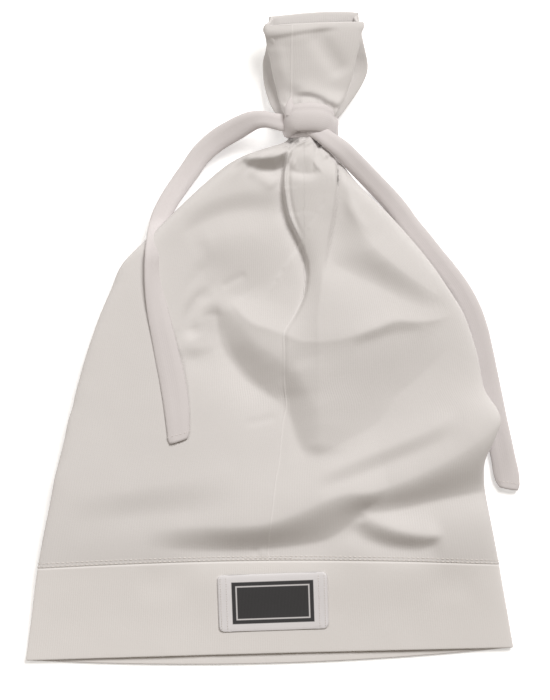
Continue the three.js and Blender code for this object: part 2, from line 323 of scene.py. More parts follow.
@dataclass(frozen=True)
class SatinFinish:
    """Woven satin label with a plain dark panel and a thin frame line inside it.

    Its sizes are in millimetres: half the panel's sides, the frame line's distance
    from the panel's edge and its width, and one thread.
    """

    name: str
    ground: Colour
    panel: Colour
    panel_half: Plan = (23.0, 12.0)
    frame_inset: float = 2.2
    frame_width: float = 0.7
    frame_share: float = 0.9
    thread: float = 0.42
    weave_tone: Colour = (0.30, 0.30, 0.31, 1.0)
    weave_share: float = 0.22
    weave_depth: float = 0.0001
    roughness: float = 0.42
    sheen: float = 0.1

    def inside(self, nodes: Nodes, u: object, v: object, half: Plan) -> Socket:
        """Tells whether a place lies in a centred rectangle.

        Args:
            nodes: The material's tree.
            u: Place across, in millimetres.
            v: Place along, in millimetres.
            half: The rectangle's half sides.

        Returns:
            1 inside and 0 outside, with a soft step of a thread between.
        """
        sides = []
        for place, reach in ((u, half[0]), (v, half[1])):
            rest = nodes.math("SUBTRACT", reach, nodes.math("ABSOLUTE", place))
            sides.append(nodes.math("DIVIDE", rest, self.thread))
        share = nodes.add("ShaderNodeClamp")
        nodes.link(nodes.math("MINIMUM", *sides), share.inputs[0])
        return share.outputs[0]

    def material(self) -> Material:
        """Builds the satin.

        Returns:
            The material.
        """
        material = bpy.data.materials.new(self.name)
        nodes = Nodes(material)
        u, v = nodes.cloth_place()
        weft = nodes.math("PINGPONG", nodes.math("DIVIDE", v, self.thread), 0.5)
        warp = nodes.math("PINGPONG", nodes.math("DIVIDE", u, 1.9 * self.thread), 0.5)
        weave = nodes.math("ADD", weft, nodes.math("MULTIPLY", warp, 0.5))
        panel = self.inside(nodes, u, v, self.panel_half)
        outer = tuple(side - self.frame_inset for side in self.panel_half)
        inner = tuple(side - self.frame_width for side in outer)
        within = [self.inside(nodes, u, v, half) for half in (outer, inner)]
        line = nodes.math("SUBTRACT", *within)
        dark = nodes.math("SUBTRACT", panel, nodes.math("MULTIPLY", line, self.frame_share))
        colour = nodes.blend(dark, self.ground, self.panel)
        shaded = nodes.blend(nodes.math("MULTIPLY", weave, self.weave_share), colour, self.weave_tone)
        nodes.shade({
            "Base Color": shaded, "Normal": nodes.bump(weave, self.weave_depth, 0.6),
            "Roughness": self.roughness, "Sheen Weight": self.sheen,
        })
        return material


@dataclass(frozen=True)
class PlainFinish:
    """One smooth colour with a faint grain, for thread and the studio floor."""

    name: str
    colour: Colour
    roughness: float = 0.6
    grain: float = 0.0
    grain_scale: float = 1500.0
    glow: float = 0.0

    def material(self) -> Material:
        """Builds the finish.

        Returns:
            The material.
        """
        material = bpy.data.materials.new(self.name)
        nodes = Nodes(material)
        nodes.shade({
            "Base Color": self.colour, "Roughness": self.roughness,
            "Emission Color": (1.0, 1.0, 1.0, 1.0), "Emission Strength": self.glow,
        })
        if self.grain:
            place = nodes.add("ShaderNodeTexCoord").outputs["Object"]
            share = nodes.math("MULTIPLY", nodes.noise(place, self.grain_scale, 2.0), self.grain)
            nodes.shade({"Base Color": nodes.blend(share, self.colour, toned(self.colour, 0.8))})
        return material


CROWN_JERSEY = JerseyFinish(
    "jersey", (0.655, 0.632, 0.627, 1.0), (0.616, 0.589, 0.577, 1.0), seam="seam"
)
# The band's jersey is a paler copy of the crown's: painted light, brightening the band where it slopes
# away from the key lamp.
BRIGHTENED_BAND_JERSEY = JerseyFinish("band_jersey", (0.744, 0.718, 0.71, 1.0), (0.702, 0.672, 0.655, 1.0))
TIE_JERSEY = JerseyFinish(
    "tie_jersey", (0.64, 0.604, 0.609, 1.0), (0.6, 0.565, 0.566, 1.0), wale=1.0, knit_tint=0.03
)
SATIN = SatinFinish("label_satin", (0.80, 0.78, 0.80, 1.0), (0.021, 0.021, 0.024, 1.0))
THREAD = PlainFinish("cotton_thread", (0.74, 0.70, 0.67, 1.0), 0.7, 0.3)
FLOOR = PlainFinish("studio_floor", (0.9, 0.9, 0.9, 1.0), 0.8, glow=0.34)


# ---------------------------------------------------------------- meshes


@dataclass
class Skin:
    """A mesh made of a grid of rings.

    points are rings by places by XYZ in millimetres, and uv the flat cloth with one
    more ring and place. endless_rings joins each ring's last place to its first, and
    endless_run the last ring to the first. values are attributes of the points.
    """

    name: str
    points: Array
    uv: Array
    endless_rings: bool = True
    endless_run: bool = False
    values: dict[str, Array] = field(default_factory=dict)

    def build(self) -> Object:
        """Joins the rings into one smooth mesh in metres.

        Returns:
            The new object, with a UV map in millimetres.
        """
        rings, count, _ = self.points.shape
        run = rings if self.endless_run else rings - 1
        turn = count if self.endless_rings else count - 1
        ring, place = np.meshgrid(np.arange(run), np.arange(turn), indexing="ij")
        ring, place = ring.ravel(), place.ravel()
        next_ring, next_place = (ring + 1) % rings, (place + 1) % count
        faces = np.stack(
            [ring * count + place, ring * count + next_place,
             next_ring * count + next_place, next_ring * count + place], axis=1,
        )
        flat = (self.points * MM).reshape(-1, 3)
        caps = []
        if not self.endless_run and self.endless_rings:
            hubs = [flat[:count].mean(axis=0), flat[-count:].mean(axis=0)]
            base = len(flat)
            flat = np.vstack([flat, hubs])
            last = (rings - 1) * count
            for i in range(count):
                j = (i + 1) % count
                caps.append([base, j, i])
                caps.append([base + 1, last + i, last + j])
        mesh = bpy.data.meshes.new(self.name)
        mesh.from_pydata(flat.tolist(), [], faces.tolist() + caps)
        mesh.polygons.foreach_set("use_smooth", np.ones(len(mesh.polygons), bool))
        layer = mesh.uv_layers.new(name="cloth")
        corners = np.stack(
            [self.uv[ring, place], self.uv[ring, place + 1],
             self.uv[ring + 1, place + 1], self.uv[ring + 1, place]], axis=1,
        ).reshape(-1, 2)
        spare = np.zeros((3 * len(caps), 2))
        layer.data.foreach_set("uv", np.vstack([corners, spare]).ravel())
        for name, value in self.values.items():
            attribute = mesh.attributes.new(name, "FLOAT", "POINT")
            padded = np.concatenate([value.ravel(), np.zeros(len(flat) - value.size)])
            attribute.data.foreach_set("value", padded)
        mesh.update()
        return placed(self.name, mesh)


def cloth_map(points: Array, endless_rings: bool = True) -> Array:
    """Lays a grid of rings out flat, for a UV map in millimetres.

    Args:
        points: Rings by places by XYZ.
        endless_rings: Whether each ring's last place joins its first.

    Returns:
        One more ring and one more place than the grid, by two.
    """
    wide = np.concatenate([points, points[:, :1]], axis=1) if endless_rings else points
    tall = np.concatenate([wide, wide[:1]], axis=0)
    across = np.linalg.norm(np.diff(wide, axis=1), axis=2)
    usual = np.median(across, axis=0)
    u = np.concatenate([[0.0], np.cumsum(usual)])
    along = np.linalg.norm(np.diff(tall, axis=0), axis=2)
    v = np.concatenate([np.zeros((1, along.shape[1])), np.cumsum(along, axis=0)])
    return np.stack([np.broadcast_to(u - u.mean(), v.shape), v], axis=2)


def smooth_step(value: Array, low: float, high: float) -> Array:
    """Goes smoothly from 0 at low to 1 at high."""
    part = np.clip((value - low) / (high - low), 0.0, 1.0)
    return part * part * (3.0 - 2.0 * part)


def hermite(
    part: Array, low: Array, high: Array, low_slope: Array, high_slope: Array, span: Array | float = 1.0
) -> Array:
    """Cubic between two values.

    Args:
        part: Place between them, from 0 to 1.
        low: Value at 0.
        high: Value at 1.
        low_slope: Slope at 0.
        high_slope: Slope at 1.
        span: Distance between the two.

    Returns:
        The values.
    """
    return ((2 * part**3 - 3 * part**2 + 1) * low + (part**3 - 2 * part**2 + part) * span * low_slope
            + (3 * part**2 - 2 * part**3) * high + (part**3 - part**2) * span * high_slope)


def bounded(line: Array, reach: float, x: Array, y: Array) -> Array:
    """Tells which places of the plan lie in a line's box, widened by a reach."""
    low, high = line.min(axis=0) - reach, line.max(axis=0) + reach
    return (x > low[0]) & (x < high[0]) & (y > low[1]) & (y < high[1])


def spline(points: Sequence[Sequence[float]], count: int) -> Array:
    """Smooth curve through points.

    Args:
        points: The points that it passes.
        count: How many places to return.

    Returns:
        Places evenly spread along the curve's length.
    """
    known = np.asarray(points, float)
    ends = [2 * known[0] - known[1], *known, 2 * known[-1] - known[-2]]
    spans = np.asarray(ends)
    part = np.linspace(0.0, 1.0, 12, endpoint=False)[:, None]
    made = []
    for a, b, c, d in zip(spans, spans[1:], spans[2:], spans[3:]):
        made.append(0.5 * (2 * b + (c - a) * part + (2 * a - 5 * b + 4 * c - d) * part**2
                           + (3 * b - a - 3 * c + d) * part**3))
    dense = np.vstack([*made, known[-1:]])
    steps = np.linalg.norm(np.diff(dense, axis=0), axis=1)
    reach = np.concatenate([[0.0], np.cumsum(steps)])
    wanted = np.linspace(0.0, reach[-1], count)
    return np.stack([np.interp(wanted, reach, dense[:, k]) for k in range(dense.shape[1])], axis=1)


# Radius that rounds a fold's top, in millimetres.
FOLD_ROUND = 0.6


@dataclass(frozen=True)
class Fold:
    """A ridge, valley or ledge of the cloth along a route in the plan.

    left and right are the rises beside the route, seen along it, and left_width
    and right_width how far they reach. crisp is 2 for a round fold and near 1 for
    a sharp one, edge how wide the step between the two rises is, and taper the
    widths' share at the route's end.
    """

    left: float
    right: float
    left_width: float
    right_width: float
    route: tuple[Plan, ...]
    crisp: float = 2.0
    edge: float = 1.2
    taper: float = 1.0
    fade_in: float = 0.2
    fade_out: float = 0.2

    def height(self, x: Array, y: Array) -> Array:
        """Height that the fold adds.

        Args:
            x: Places across.
            y: Places along.

        Returns:
            The heights, of the same shape.
        """
        line = spline(self.route, 25)
        near = bounded(line, 3.2 * max(self.left_width, self.right_width), x, y)
        px, py = x[near], y[near]
        best = np.full(px.shape, np.inf)
        side = np.zeros(px.shape)
        along = np.zeros(px.shape)
        for i, (a, b) in enumerate(zip(line, line[1:])):
            run = b - a
            part = np.clip(((px - a[0]) * run[0] + (py - a[1]) * run[1]) / (run @ run), 0.0, 1.0)
            ex, ey = px - a[0] - part * run[0], py - a[1] - part * run[1]
            distance = np.hypot(ex, ey)
            closer = distance < best
            best = np.where(closer, distance, best)
            side = np.where(closer, np.sign(run[0] * ey - run[1] * ex), side)
            along = np.where(closer, (i + part) / (len(line) - 1), along)
        slim = 1.0 + (self.taper - 1.0) * along
        eased = np.sqrt(best**2 + FOLD_ROUND**2) - FOLD_ROUND
        signed = side * best
        share = 0.5 + 0.5 * signed / np.sqrt(signed**2 + self.edge**2)
        left = self.left * np.exp(-((eased / (self.left_width * slim)) ** self.crisp))
        right = self.right * np.exp(-((eased / (self.right_width * slim)) ** self.crisp))
        ends = smooth_step(along, 0.0, self.fade_in) * smooth_step(1.0 - along, 0.0, self.fade_out)
        total = np.zeros(x.shape)
        total[near] = ends * (share * left + (1.0 - share) * right)
        return total


@dataclass(frozen=True)
class Shelf:
    """A slope between two lines of the cloth: a crest and the foot that it falls to.

    Both lines run the same way, with the foot on the right of the crest. drops are
    the falls in height along the crest, lift the share of the fall that stands over
    the plain cloth and first_lift the same at the start, bend over 1 for a slope that
    steepens to the foot, soft the share of an S-shaped slope, back and front how far
    the crest's rise and the foot's dip reach beyond them, and peak near 1 for a crest
    like a ridge. lifting is where the first lift turns into lift, and narrows and
    fades how far from an end without a drop the rise is narrower and the slope weaker,
    as shares of the length. A slope whose last drop isn't 0 runs on past its end.
    """

    crest: tuple[Plan, ...]
    foot: tuple[Plan, ...]
    drops: tuple[float, ...]
    lift: float = 0.5
    bend: float = 1.0
    soft: float = 0.0
    back: float = 12.0
    front: float = 6.0
    peak: float = 1.5
    first_lift: float | None = None
    lifting: tuple[float, float] = (0.08, 0.42)
    narrows: float = 0.3
    fades: float = 0.14

    def height(self, x: Array, y: Array) -> Array:
        """Height that the slope adds.

        Args:
            x: Places across.
            y: Places along.

        Returns:
            The heights, of the same shape.
        """
        crest, foot = spline(self.crest, 40), spline(self.foot, 40)
        near = bounded(np.concatenate([crest, foot]), 2.6 * max(self.back, self.front), x, y)
        from_crest, side, along, nearest = line_frame(crest, x[near], y[near])
        from_foot, foot_side, foot_along, foot_nearest = line_frame(foot, x[near], y[near])
        share = from_crest / (from_crest + from_foot + 1e-6)
        toward = np.where(side > 0, 0.0, np.where(foot_side < 0, 1.0, share))
        spot = nearest + toward * (foot_nearest - nearest)
        along = along + toward * (foot_along - along)
        from_start = spot if self.drops[0] == 0 else np.ones(spot.shape)
        from_end = 1.0 - spot if self.drops[-1] == 0 else np.ones(spot.shape)
        near_end = np.minimum(from_start, from_end)
        back = self.back * (0.4 + 0.6 * smooth_step(near_end, 0.0, self.narrows))
        eased = share * share * (3.0 - 2.0 * share)
        fallen = (1.0 - self.soft) * share**self.bend + self.soft * eased
        first = self.lift if self.first_lift is None else self.first_lift
        lift = first + (self.lift - first) * smooth_step(along, *self.lifting)
        above = lift * np.exp(-((from_crest / back) ** self.peak))
        below = -(1.0 - lift) * np.exp(-((from_foot / self.front) ** 1.5))
        made = np.where(side > 0, above, np.where(foot_side < 0, below, lift - fallen))
        total = np.zeros(x.shape)
        fall = np.interp(along, np.linspace(0.0, 1.0, len(self.drops)), self.drops)
        total[near] = made * fall * smooth_step(near_end, 0.0, self.fades)
        return total


def line_frame(line: Array, x: Array, y: Array) -> tuple[Array, ...]:
    """Places seen from a line of the plan.

    The distance is a mean over the whole line, so that it stays smooth between two
    branches of a bent one, and so is the place along, except near the line's ends.

    Args:
        line: The line's points.
        x: Places across.
        y: Places along.

    Returns:
        The distances, the sides (1 on the left), how far along from 0 to 1, and the
        same for the nearest point of the line.
    """
    pull = np.zeros(x.shape)
    carried = np.zeros(x.shape)
    best = np.full(x.shape, np.inf)
    side = np.ones(x.shape)
    nearest = np.zeros(x.shape)
    tangents = np.gradient(line, axis=0)
    for i, (a, b) in enumerate(zip(line, line[1:])):
        run = b - a
        length = math.hypot(*run)
        way = run / length
        ahead = (x - a[0]) * way[0] + (y - a[1]) * way[1]
        off = way[0] * (y - a[1]) - way[1] * (x - a[0])
        square = np.maximum(off * off, 1e-3)
        rest = length - ahead
        reached = ahead / np.sqrt(square + ahead**2) + rest / np.sqrt(square + rest**2)
        weight = np.maximum(reached, 0.0) / square
        part = np.clip(ahead / length, 0.0, 1.0)
        pull += weight
        carried += weight * (i + part) / (len(line) - 1)
        ex, ey = x - a[0] - part * run[0], y - a[1] - part * run[1]
        distance = np.hypot(ex, ey)
        turned = (1.0 - part)[..., None] * tangents[i] + part[..., None] * tangents[i + 1]
        closer = distance < best
        best = np.where(closer, distance, best)
        side = np.where(closer, np.sign(turned[..., 0] * ey - turned[..., 1] * ex), side)
        nearest = np.where(closer, (i + part) / (len(line) - 1), nearest)
    inner = smooth_step(np.minimum(nearest, 1.0 - nearest), 0.0, 0.2)
    return (2.0 / pull) ** 0.5, side, nearest + inner * (carried / pull - nearest), nearest


class Relief(Protocol):
    """Anything that adds height to the cloth at places of the plan."""

    def height(self, x: Array, y: Array) -> Array:
        """Height that it adds at places across and along."""


def relief(folds: Sequence[Relief], x: Array, y: Array) -> Array:
    """Height that several folds add together."""
    return sum((fold.height(x, y) for fold in folds), np.zeros(x.shape))


def seam_distance(route: Sequence[Plan], x: Array, y: Array, reach: float) -> Array:
    """Signed distance from a seam's line, kept within a reach.

    Args:
        route: The seam's line in the plan, in order of falling y.
        x: Places across.
        y: Places along.
        reach: The most that is returned.

    Returns:
        The distances, of the same shape.
    """
    line = spline(route, 60)[::-1]
    offset = x - np.interp(y, line[:, 1], line[:, 0])
    past = np.maximum(line[0, 1] - y, 0.0) + np.maximum(y - line[-1, 1], 0.0)
    return np.sign(offset) * np.minimum(np.abs(offset) + 3.0 * past, reach)


# ---------------------------------------------------------------- the lying tube


@dataclass(frozen=True)
class Section:
    """One section of the lying tube.

    spine is y at the middle, left and right the outline's two points, top the
    height, fold the side folds' height, run how far in from them the underside
    leaves the surface, floor the underside's height, square how boxy the arch is
    and reach how far the back layer stands past the front one.
    """

    spine: float
    left_x: float
    left_y: float
    right_x: float
    right_y: float
    top: float
    left_fold: float
    right_fold: float
    left_run: float
    right_run: float
    floor: float
    square: float
    reach: float = 0.0


# Slack cloth's waves: size, width and length in millimetres, and level in the noise.
RIPPLES = ((1.0, 34.0, 46.0, 0.3), (0.4, 13.0, 19.0, 7.1))


@dataclass(frozen=True)
class LyingTube:
    """A cloth tube that lies flat, given by a few sections.

    under_curl is how round the underside turns up to the side folds, edge_ring the
    place of the first ring after the edge, seam_roll how deep the edge turns in,
    wander the height of the slack cloth's waves, and gathers a height for y and
    place across.
    """

    sections: tuple[Section, ...]
    folds: tuple[Relief, ...] = ()
    under_curl: float = 1.5
    edge_ring: float = 0.004
    seam_roll: float = 0.05
    wander: float = 0.0
    gathers: Callable[[Array, Array], Array] | None = None

    def at(self, place: Array) -> dict[str, Array]:
        """Sizes of the section at places along the table.

        Args:
            place: Row numbers, with parts between rows.

        Returns:
            Each named size, as a column beside the places across.
        """
        table = np.array([astuple(section) for section in self.sections])
        last = len(table) - 1
        index = np.minimum(place.astype(int), last - 1)
        part = (place - index)[:, None]
        a, b, c, d = (table[np.clip(index + k, 0, last)] for k in (-1, 0, 1, 2))
        made = hermite(part, b, c, (c - a) / 2, (d - b) / 2)
        return {f.name: made[:, i : i + 1] for i, f in enumerate(fields(Section))}

    def places(self, step: float, first: float = 0.0, last: float | None = None) -> Array:
        """Row numbers that follow each other at about a step along the tube.

        Args:
            step: Wanted distance, in millimetres.
            first: First row number.
            last: Last row number, or None for the table's end.

        Returns:
            The row numbers.
        """
        end = len(self.sections) - 1 if last is None else last
        dense = np.linspace(first, end, 600)
        row = self.at(dense)
        steps = np.hypot(np.diff(row["spine"][:, 0]), np.diff(row["left_x"][:, 0]) / 2)
        reach = np.concatenate([[0.0], np.cumsum(steps)])
        count = max(2, round(reach[-1] / step) + 1)
        return np.interp(np.linspace(0.0, reach[-1], count), reach, dense)

    def front(self, place: Array, across: Array, inset: Array) -> Array:
        """Points of the front layer.

        Args:
            place: Row numbers.
            across: Places across, from -1 at the left fold to 1 at the right one.
            inset: Depth under the outer face, for each row number.

        Returns:
            Rows by places by XYZ, in millimetres.
        """
        row, x, y, _, inset = self.plan(place, across, inset)
        share = np.maximum(0.0, 1.0 - np.abs(across) ** row["square"]) ** (1.0 / row["square"])
        side = row["left_fold"] + (row["right_fold"] - row["left_fold"]) * (across + 1.0) / 2.0
        cloth = relief(self.folds, x, y) + self.ripple(x, y)
        if self.gathers is not None:
            cloth = cloth + self.gathers(y, across + 0.0 * y)
        z = side + (row["top"] - inset - side) * share + cloth * smooth_step(share, 0.08, 0.55)
        return np.stack([x, y, z], axis=2)

    def back(self, place: Array, across: Array, inset: Array) -> Array:
        """Points of the back layer, flat on the surface between its two side folds.

        Args:
            place: Row numbers.
            across: Places across, from -1 at the left fold to 1 at the right one.
            inset: Depth under the outer face, for each row number.

        Returns:
            Rows by places by XYZ, in millimetres.
        """
        row, x, y, half, inset = self.plan(place, across, inset)
        under = row["floor"] + inset
        z = under + 0.0 * x
        for name, distance in (("left", 1.0 + across), ("right", 1.0 - across)):
            part = np.maximum(0.0, 1.0 - distance * half / row[f"{name}_run"])
            curl = 1.0 - (1.0 - part**self.under_curl) ** (1.0 / self.under_curl)
            z = z + (row[f"{name}_fold"] - under) * curl
        y = y + row["reach"] * (1.0 - across**2)
        return np.stack([x, y, z], axis=2)

    def plan(self, place: Array, across: Array, inset: Array) -> tuple:
        """Sections and plan places of a grid.

        Args:
            place: Row numbers.
            across: Places across, from -1 to 1.
            inset: Depth under the outer face, for each row number.

        Returns:
            The sections, x, y, half the width, and the inset as a column.
        """
        row = self.at(place)
        depth = np.asarray(inset, float).reshape(-1, 1) + 0.0 * row["spine"]
        half = (row["right_x"] - row["left_x"]) / 2.0 - depth
        middle = (row["right_x"] + row["left_x"]) / 2.0
        bulge = row["spine"] - (row["left_y"] + row["right_y"]) / 2.0
        x = middle + across * half
        y = row["left_y"] + (row["right_y"] - row["left_y"]) * (across + 1.0) / 2.0
        return row, x, y + bulge * (1.0 - across**2), half, depth

    def ripple(self, x: Array, y: Array) -> Array:
        """Slight unevenness of slack cloth.

        Args:
            x: Places across.
            y: Places along.

        Returns:
            Its heights, of the same shape.
        """
        waves = [
            sum(size * noise.noise(Vector((u / wide, v / long, level)))
                for size, wide, long, level in RIPPLES)
            for u, v in zip(x.ravel(), y.ravel())
        ]
        return self.wander * np.array(waves).reshape(x.shape)

    def rings(self, place: Array, inset: object, top: int, under: int) -> Array:
        """Closed rings round sections.

        Args:
            place: Row numbers.
            inset: Depth under the outer face, one number or one for each row.
            top: Places of the front layer.
            under: Places of the back layer.

        Returns:
            Rows by places by XYZ, from the left fold over the front.
        """
        depth = np.asarray(inset, float) + 0.0 * place
        over = np.linspace(-1.0, 1.0, top, endpoint=False)
        below = np.linspace(1.0, -1.0, under, endpoint=False)
        closer_at_folds = [(7.0 * t - t**7) / 6.0 for t in (over, below)]
        front = self.front(place, closer_at_folds[0], depth)
        back = self.back(place, closer_at_folds[1], depth)
        return np.concatenate([front, back], axis=1)

    def outside(self, step: float, top: int, under: int) -> Array:
        """Closed rings of the outer face, the first of which turn in to a seam.

        Args:
            step: Their spacing.
            top: Places of the front layer.
            under: Places of the back layer.

        Returns:
            Rows by places by XYZ, from the left fold over the front.
        """
        place = np.insert(self.places(step), 1, self.edge_ring)
        turned = self.seam_roll * np.exp(-((np.arange(len(place)) * step / 1.3) ** 2))
        return self.rings(place, turned, top, under)


class Surface:
    """The faces of a finished piece, for laying other pieces on it.

    above is the height in metres from which it is looked for.
    """

    above = 0.1

    def __init__(self, piece: Object) -> None:
        """Reads the piece's faces.

        Args:
            piece: A finished piece.
        """
        mesh = piece.data
        self.tree = BVHTree.FromPolygons(
            [v.co for v in mesh.vertices], [tuple(p.vertices) for p in mesh.polygons]
        )

    def height(self, x: float, y: float) -> float:
        """Height of the topmost face at a place of the plan, in millimetres."""
        hit = self.tree.ray_cast(Vector((x * MM, y * MM, self.above)), Vector((0.0, 0.0, -1.0)))[0]
        return 0.0 if hit is None else hit.z / MM

    def drape(self, plan: Array, lift: float) -> Array:
        """Lays a grid of plan places on the piece.

        Args:
            plan: Places, with x and y last.
            lift: Height over the piece, in millimetres.

        Returns:
            The same grid with z added.
        """
        flat = plan.reshape(-1, 2)
        heights = np.array([self.height(x, y) + lift for x, y in flat])
        return np.concatenate([flat, heights[:, None]], axis=1).reshape(*plan.shape[:-1], 3)


# ---------------------------------------------------------------- stitches


@dataclass
class Stitching:
    """Runs of short stitches laid along lines by Geometry Nodes, sizes in millimetres."""

    name: str
    lines: list[Array]
    finish: Material
    stitch: float = 2.0
    gap: float = 0.7
    width: float = 0.5
    height: float = 0.28

    def tree(self) -> bpy.types.GeometryNodeTree:
        """Builds the tree: one bead of thread at each step of the lines.

        Returns:
            The node group.
        """
        group = bpy.data.node_groups.new(f"{self.name}_nodes", "GeometryNodeTree")
        face = group.interface
        face.new_socket("Geometry", in_out="INPUT", socket_type="NodeSocketGeometry")
        for label in ("Stitch", "Gap", "Width", "Height"):
            face.new_socket(label, in_out="INPUT", socket_type="NodeSocketFloat")
        face.new_socket("Thread", in_out="INPUT", socket_type="NodeSocketMaterial")
        face.new_socket("Geometry", in_out="OUTPUT", socket_type="NodeSocketGeometry")
        kinds = {
            "given": "NodeGroupInput", "pitch": "ShaderNodeMath", "curve": "GeometryNodeMeshToCurve",
            "steps": "GeometryNodeResampleCurve", "bead": "GeometryNodeMeshUVSphere",
            "size": "ShaderNodeCombineXYZ", "thread": "GeometryNodeTransform",
            "tangent": "GeometryNodeInputTangent", "turn": "FunctionNodeAlignRotationToVector",
            "laid": "GeometryNodeInstanceOnPoints", "real": "GeometryNodeRealizeInstances",
            "dressed": "GeometryNodeSetMaterial", "made": "NodeGroupOutput",
        }
        nodes = {name: group.nodes.new(kind) for name, kind in kinds.items()}
        nodes["pitch"].operation = "ADD"
        nodes["steps"].mode = "LENGTH"
        nodes["turn"].axis = "X"
        for label, value in (("Segments", 6), ("Rings", 5), ("Radius", 0.5)):
            nodes["bead"].inputs[label].default_value = value
        for source, output, target, place in (
            ("given", "Stitch", "pitch", 0), ("given", "Gap", "pitch", 1),
            ("given", "Geometry", "curve", "Mesh"), ("curve", "Curve", "steps", "Curve"),
            ("pitch", 0, "steps", "Length"), ("given", "Stitch", "size", 0),
            ("given", "Width", "size", 1), ("given", "Height", "size", 2),
            ("bead", "Mesh", "thread", "Geometry"), ("size", 0, "thread", "Scale"),
            ("tangent", 0, "turn", "Vector"),
            ("steps", "Curve", "laid", "Points"), ("thread", "Geometry", "laid", "Instance"),
            ("turn", "Rotation", "laid", "Rotation"), ("laid", "Instances", "real", "Geometry"),
            ("real", "Geometry", "dressed", "Geometry"), ("given", "Thread", "dressed", "Material"),
            ("dressed", "Geometry", "made", "Geometry"),
        ):
            group.links.new(nodes[source].outputs[output], nodes[target].inputs[place])
        return group

    def build(self, slot: Slot) -> Object:
        """Runs the tree over the lines and keeps its result as a plain mesh.

        Args:
            slot: The record's slot.

        Returns:
            The stitches, finished.
        """
        points, edges = [], []
        for line in self.lines:
            first = len(points)
            points.extend((line * MM).tolist())
            edges.extend([(first + i, first + i + 1) for i in range(len(line) - 1)])
        mesh = bpy.data.meshes.new(f"{self.name}_line")
        mesh.from_pydata(points, edges, [])
        guide = placed(f"{self.name}_line", mesh)
        modifier = guide.modifiers.new("stitches", "NODES")
        modifier.node_group = self.tree()
        sizes = {"Stitch": self.stitch, "Gap": self.gap, "Width": self.width, "Height": self.height}
        values = {label: size * MM for label, size in sizes.items()} | {"Thread": self.finish}
        for socket in modifier.node_group.interface.items_tree:
            if socket.in_out == "INPUT" and socket.name in values:
                modifier[socket.identifier] = values[socket.name]
        bpy.context.view_layer.update()
        seen = guide.evaluated_get(bpy.context.evaluated_depsgraph_get())
        made = placed(self.name, bpy.data.meshes.new_from_object(seen))
        bpy.data.objects.remove(guide)
        made.data.polygons.foreach_set("use_smooth", np.ones(len(made.data.polygons), bool))
        return dress(made, self.finish, slot)


# ---------------------------------------------------------------- crown


CROWN_SECTIONS = tuple(Section(*row) for row in (
    (-123.5, -129.2, -128, 127.8, -125.7, 12.6, 4.6, 4.6, 12, 12, 0, 6),
    (-109, -126.3, -112, 125.1, -111.8, 15, 5, 5, 12, 12, 0, 6),
    (-89, -121.8, -90, 120.7, -89.6, 17, 6, 6.5, 12, 12, 0, 6),
    (-77, -119.6, -78, 119.3, -78.5, 17.8, 6, 7, 12, 13, 0, 6),
    (-66, -116.8, -67, 119.6, -67.4, 18.4, 6, 8.5, 12, 17, 0, 6),
    (-54, -114, -56, 124.6, -55.6, 19, 6.5, 10.5, 12, 22, 0, 6),
    (-44, -112, -46, 127.7, -46.3, 19.4, 6.5, 11.5, 12, 24, 0, 6),
    (-35, -109.5, -38, 126, -39.1, 19.8, 6.5, 11.5, 12, 24, 0, 6),
    (-22, -107, -27.5, 119, -27.5, 20.2, 7, 11.5, 12, 22, 0, 6),
    (2, -101.3, -7.5, 114.9, -7.5, 21, 7, 11.5, 12, 21, 0, 6),
    (24, -94.1, 13, 107.9, 13, 21.8, 7, 11.5, 13, 21, 0, 6),
    (44, -88, 27, 99.5, 27, 22.6, 7.5, 11, 14, 19, 0, 5.6),
    (61, -82, 41, 90, 41, 23.4, 8, 10, 15, 17, 0, 5),
    (76, -69, 54.5, 79, 54.5, 24.6, 8.5, 10, 16, 16, 0, 4.2),
    (88, -52, 71, 65, 70, 26.2, 9, 10, 16, 16, 0, 3.5),
    (96, -36.5, 85.5, 52, 82.5, 27.4, 10, 10, 16, 16, 0, 3),
    (102, -21.5, 97.5, 43.5, 92.5, 27.2, 11, 11, 15, 15, 0.6, 2.6),
    (106, -6, 104, 38.6, 100.5, 26, 12, 12, 14, 14, 2, 2),
    (108.6, 6.4, 108, 36, 106.8, 24, 13, 13, 13, 13, 3.4, 2),
    (111, 10.6, 111, 35, 111, 22.6, 13.4, 13.4, 12, 12, 4.3, 2),
    (116.4, 10.6, 116.4, 35, 116.4, 22.6, 13.4, 13.4, 12, 12, 4.3, 2),
))

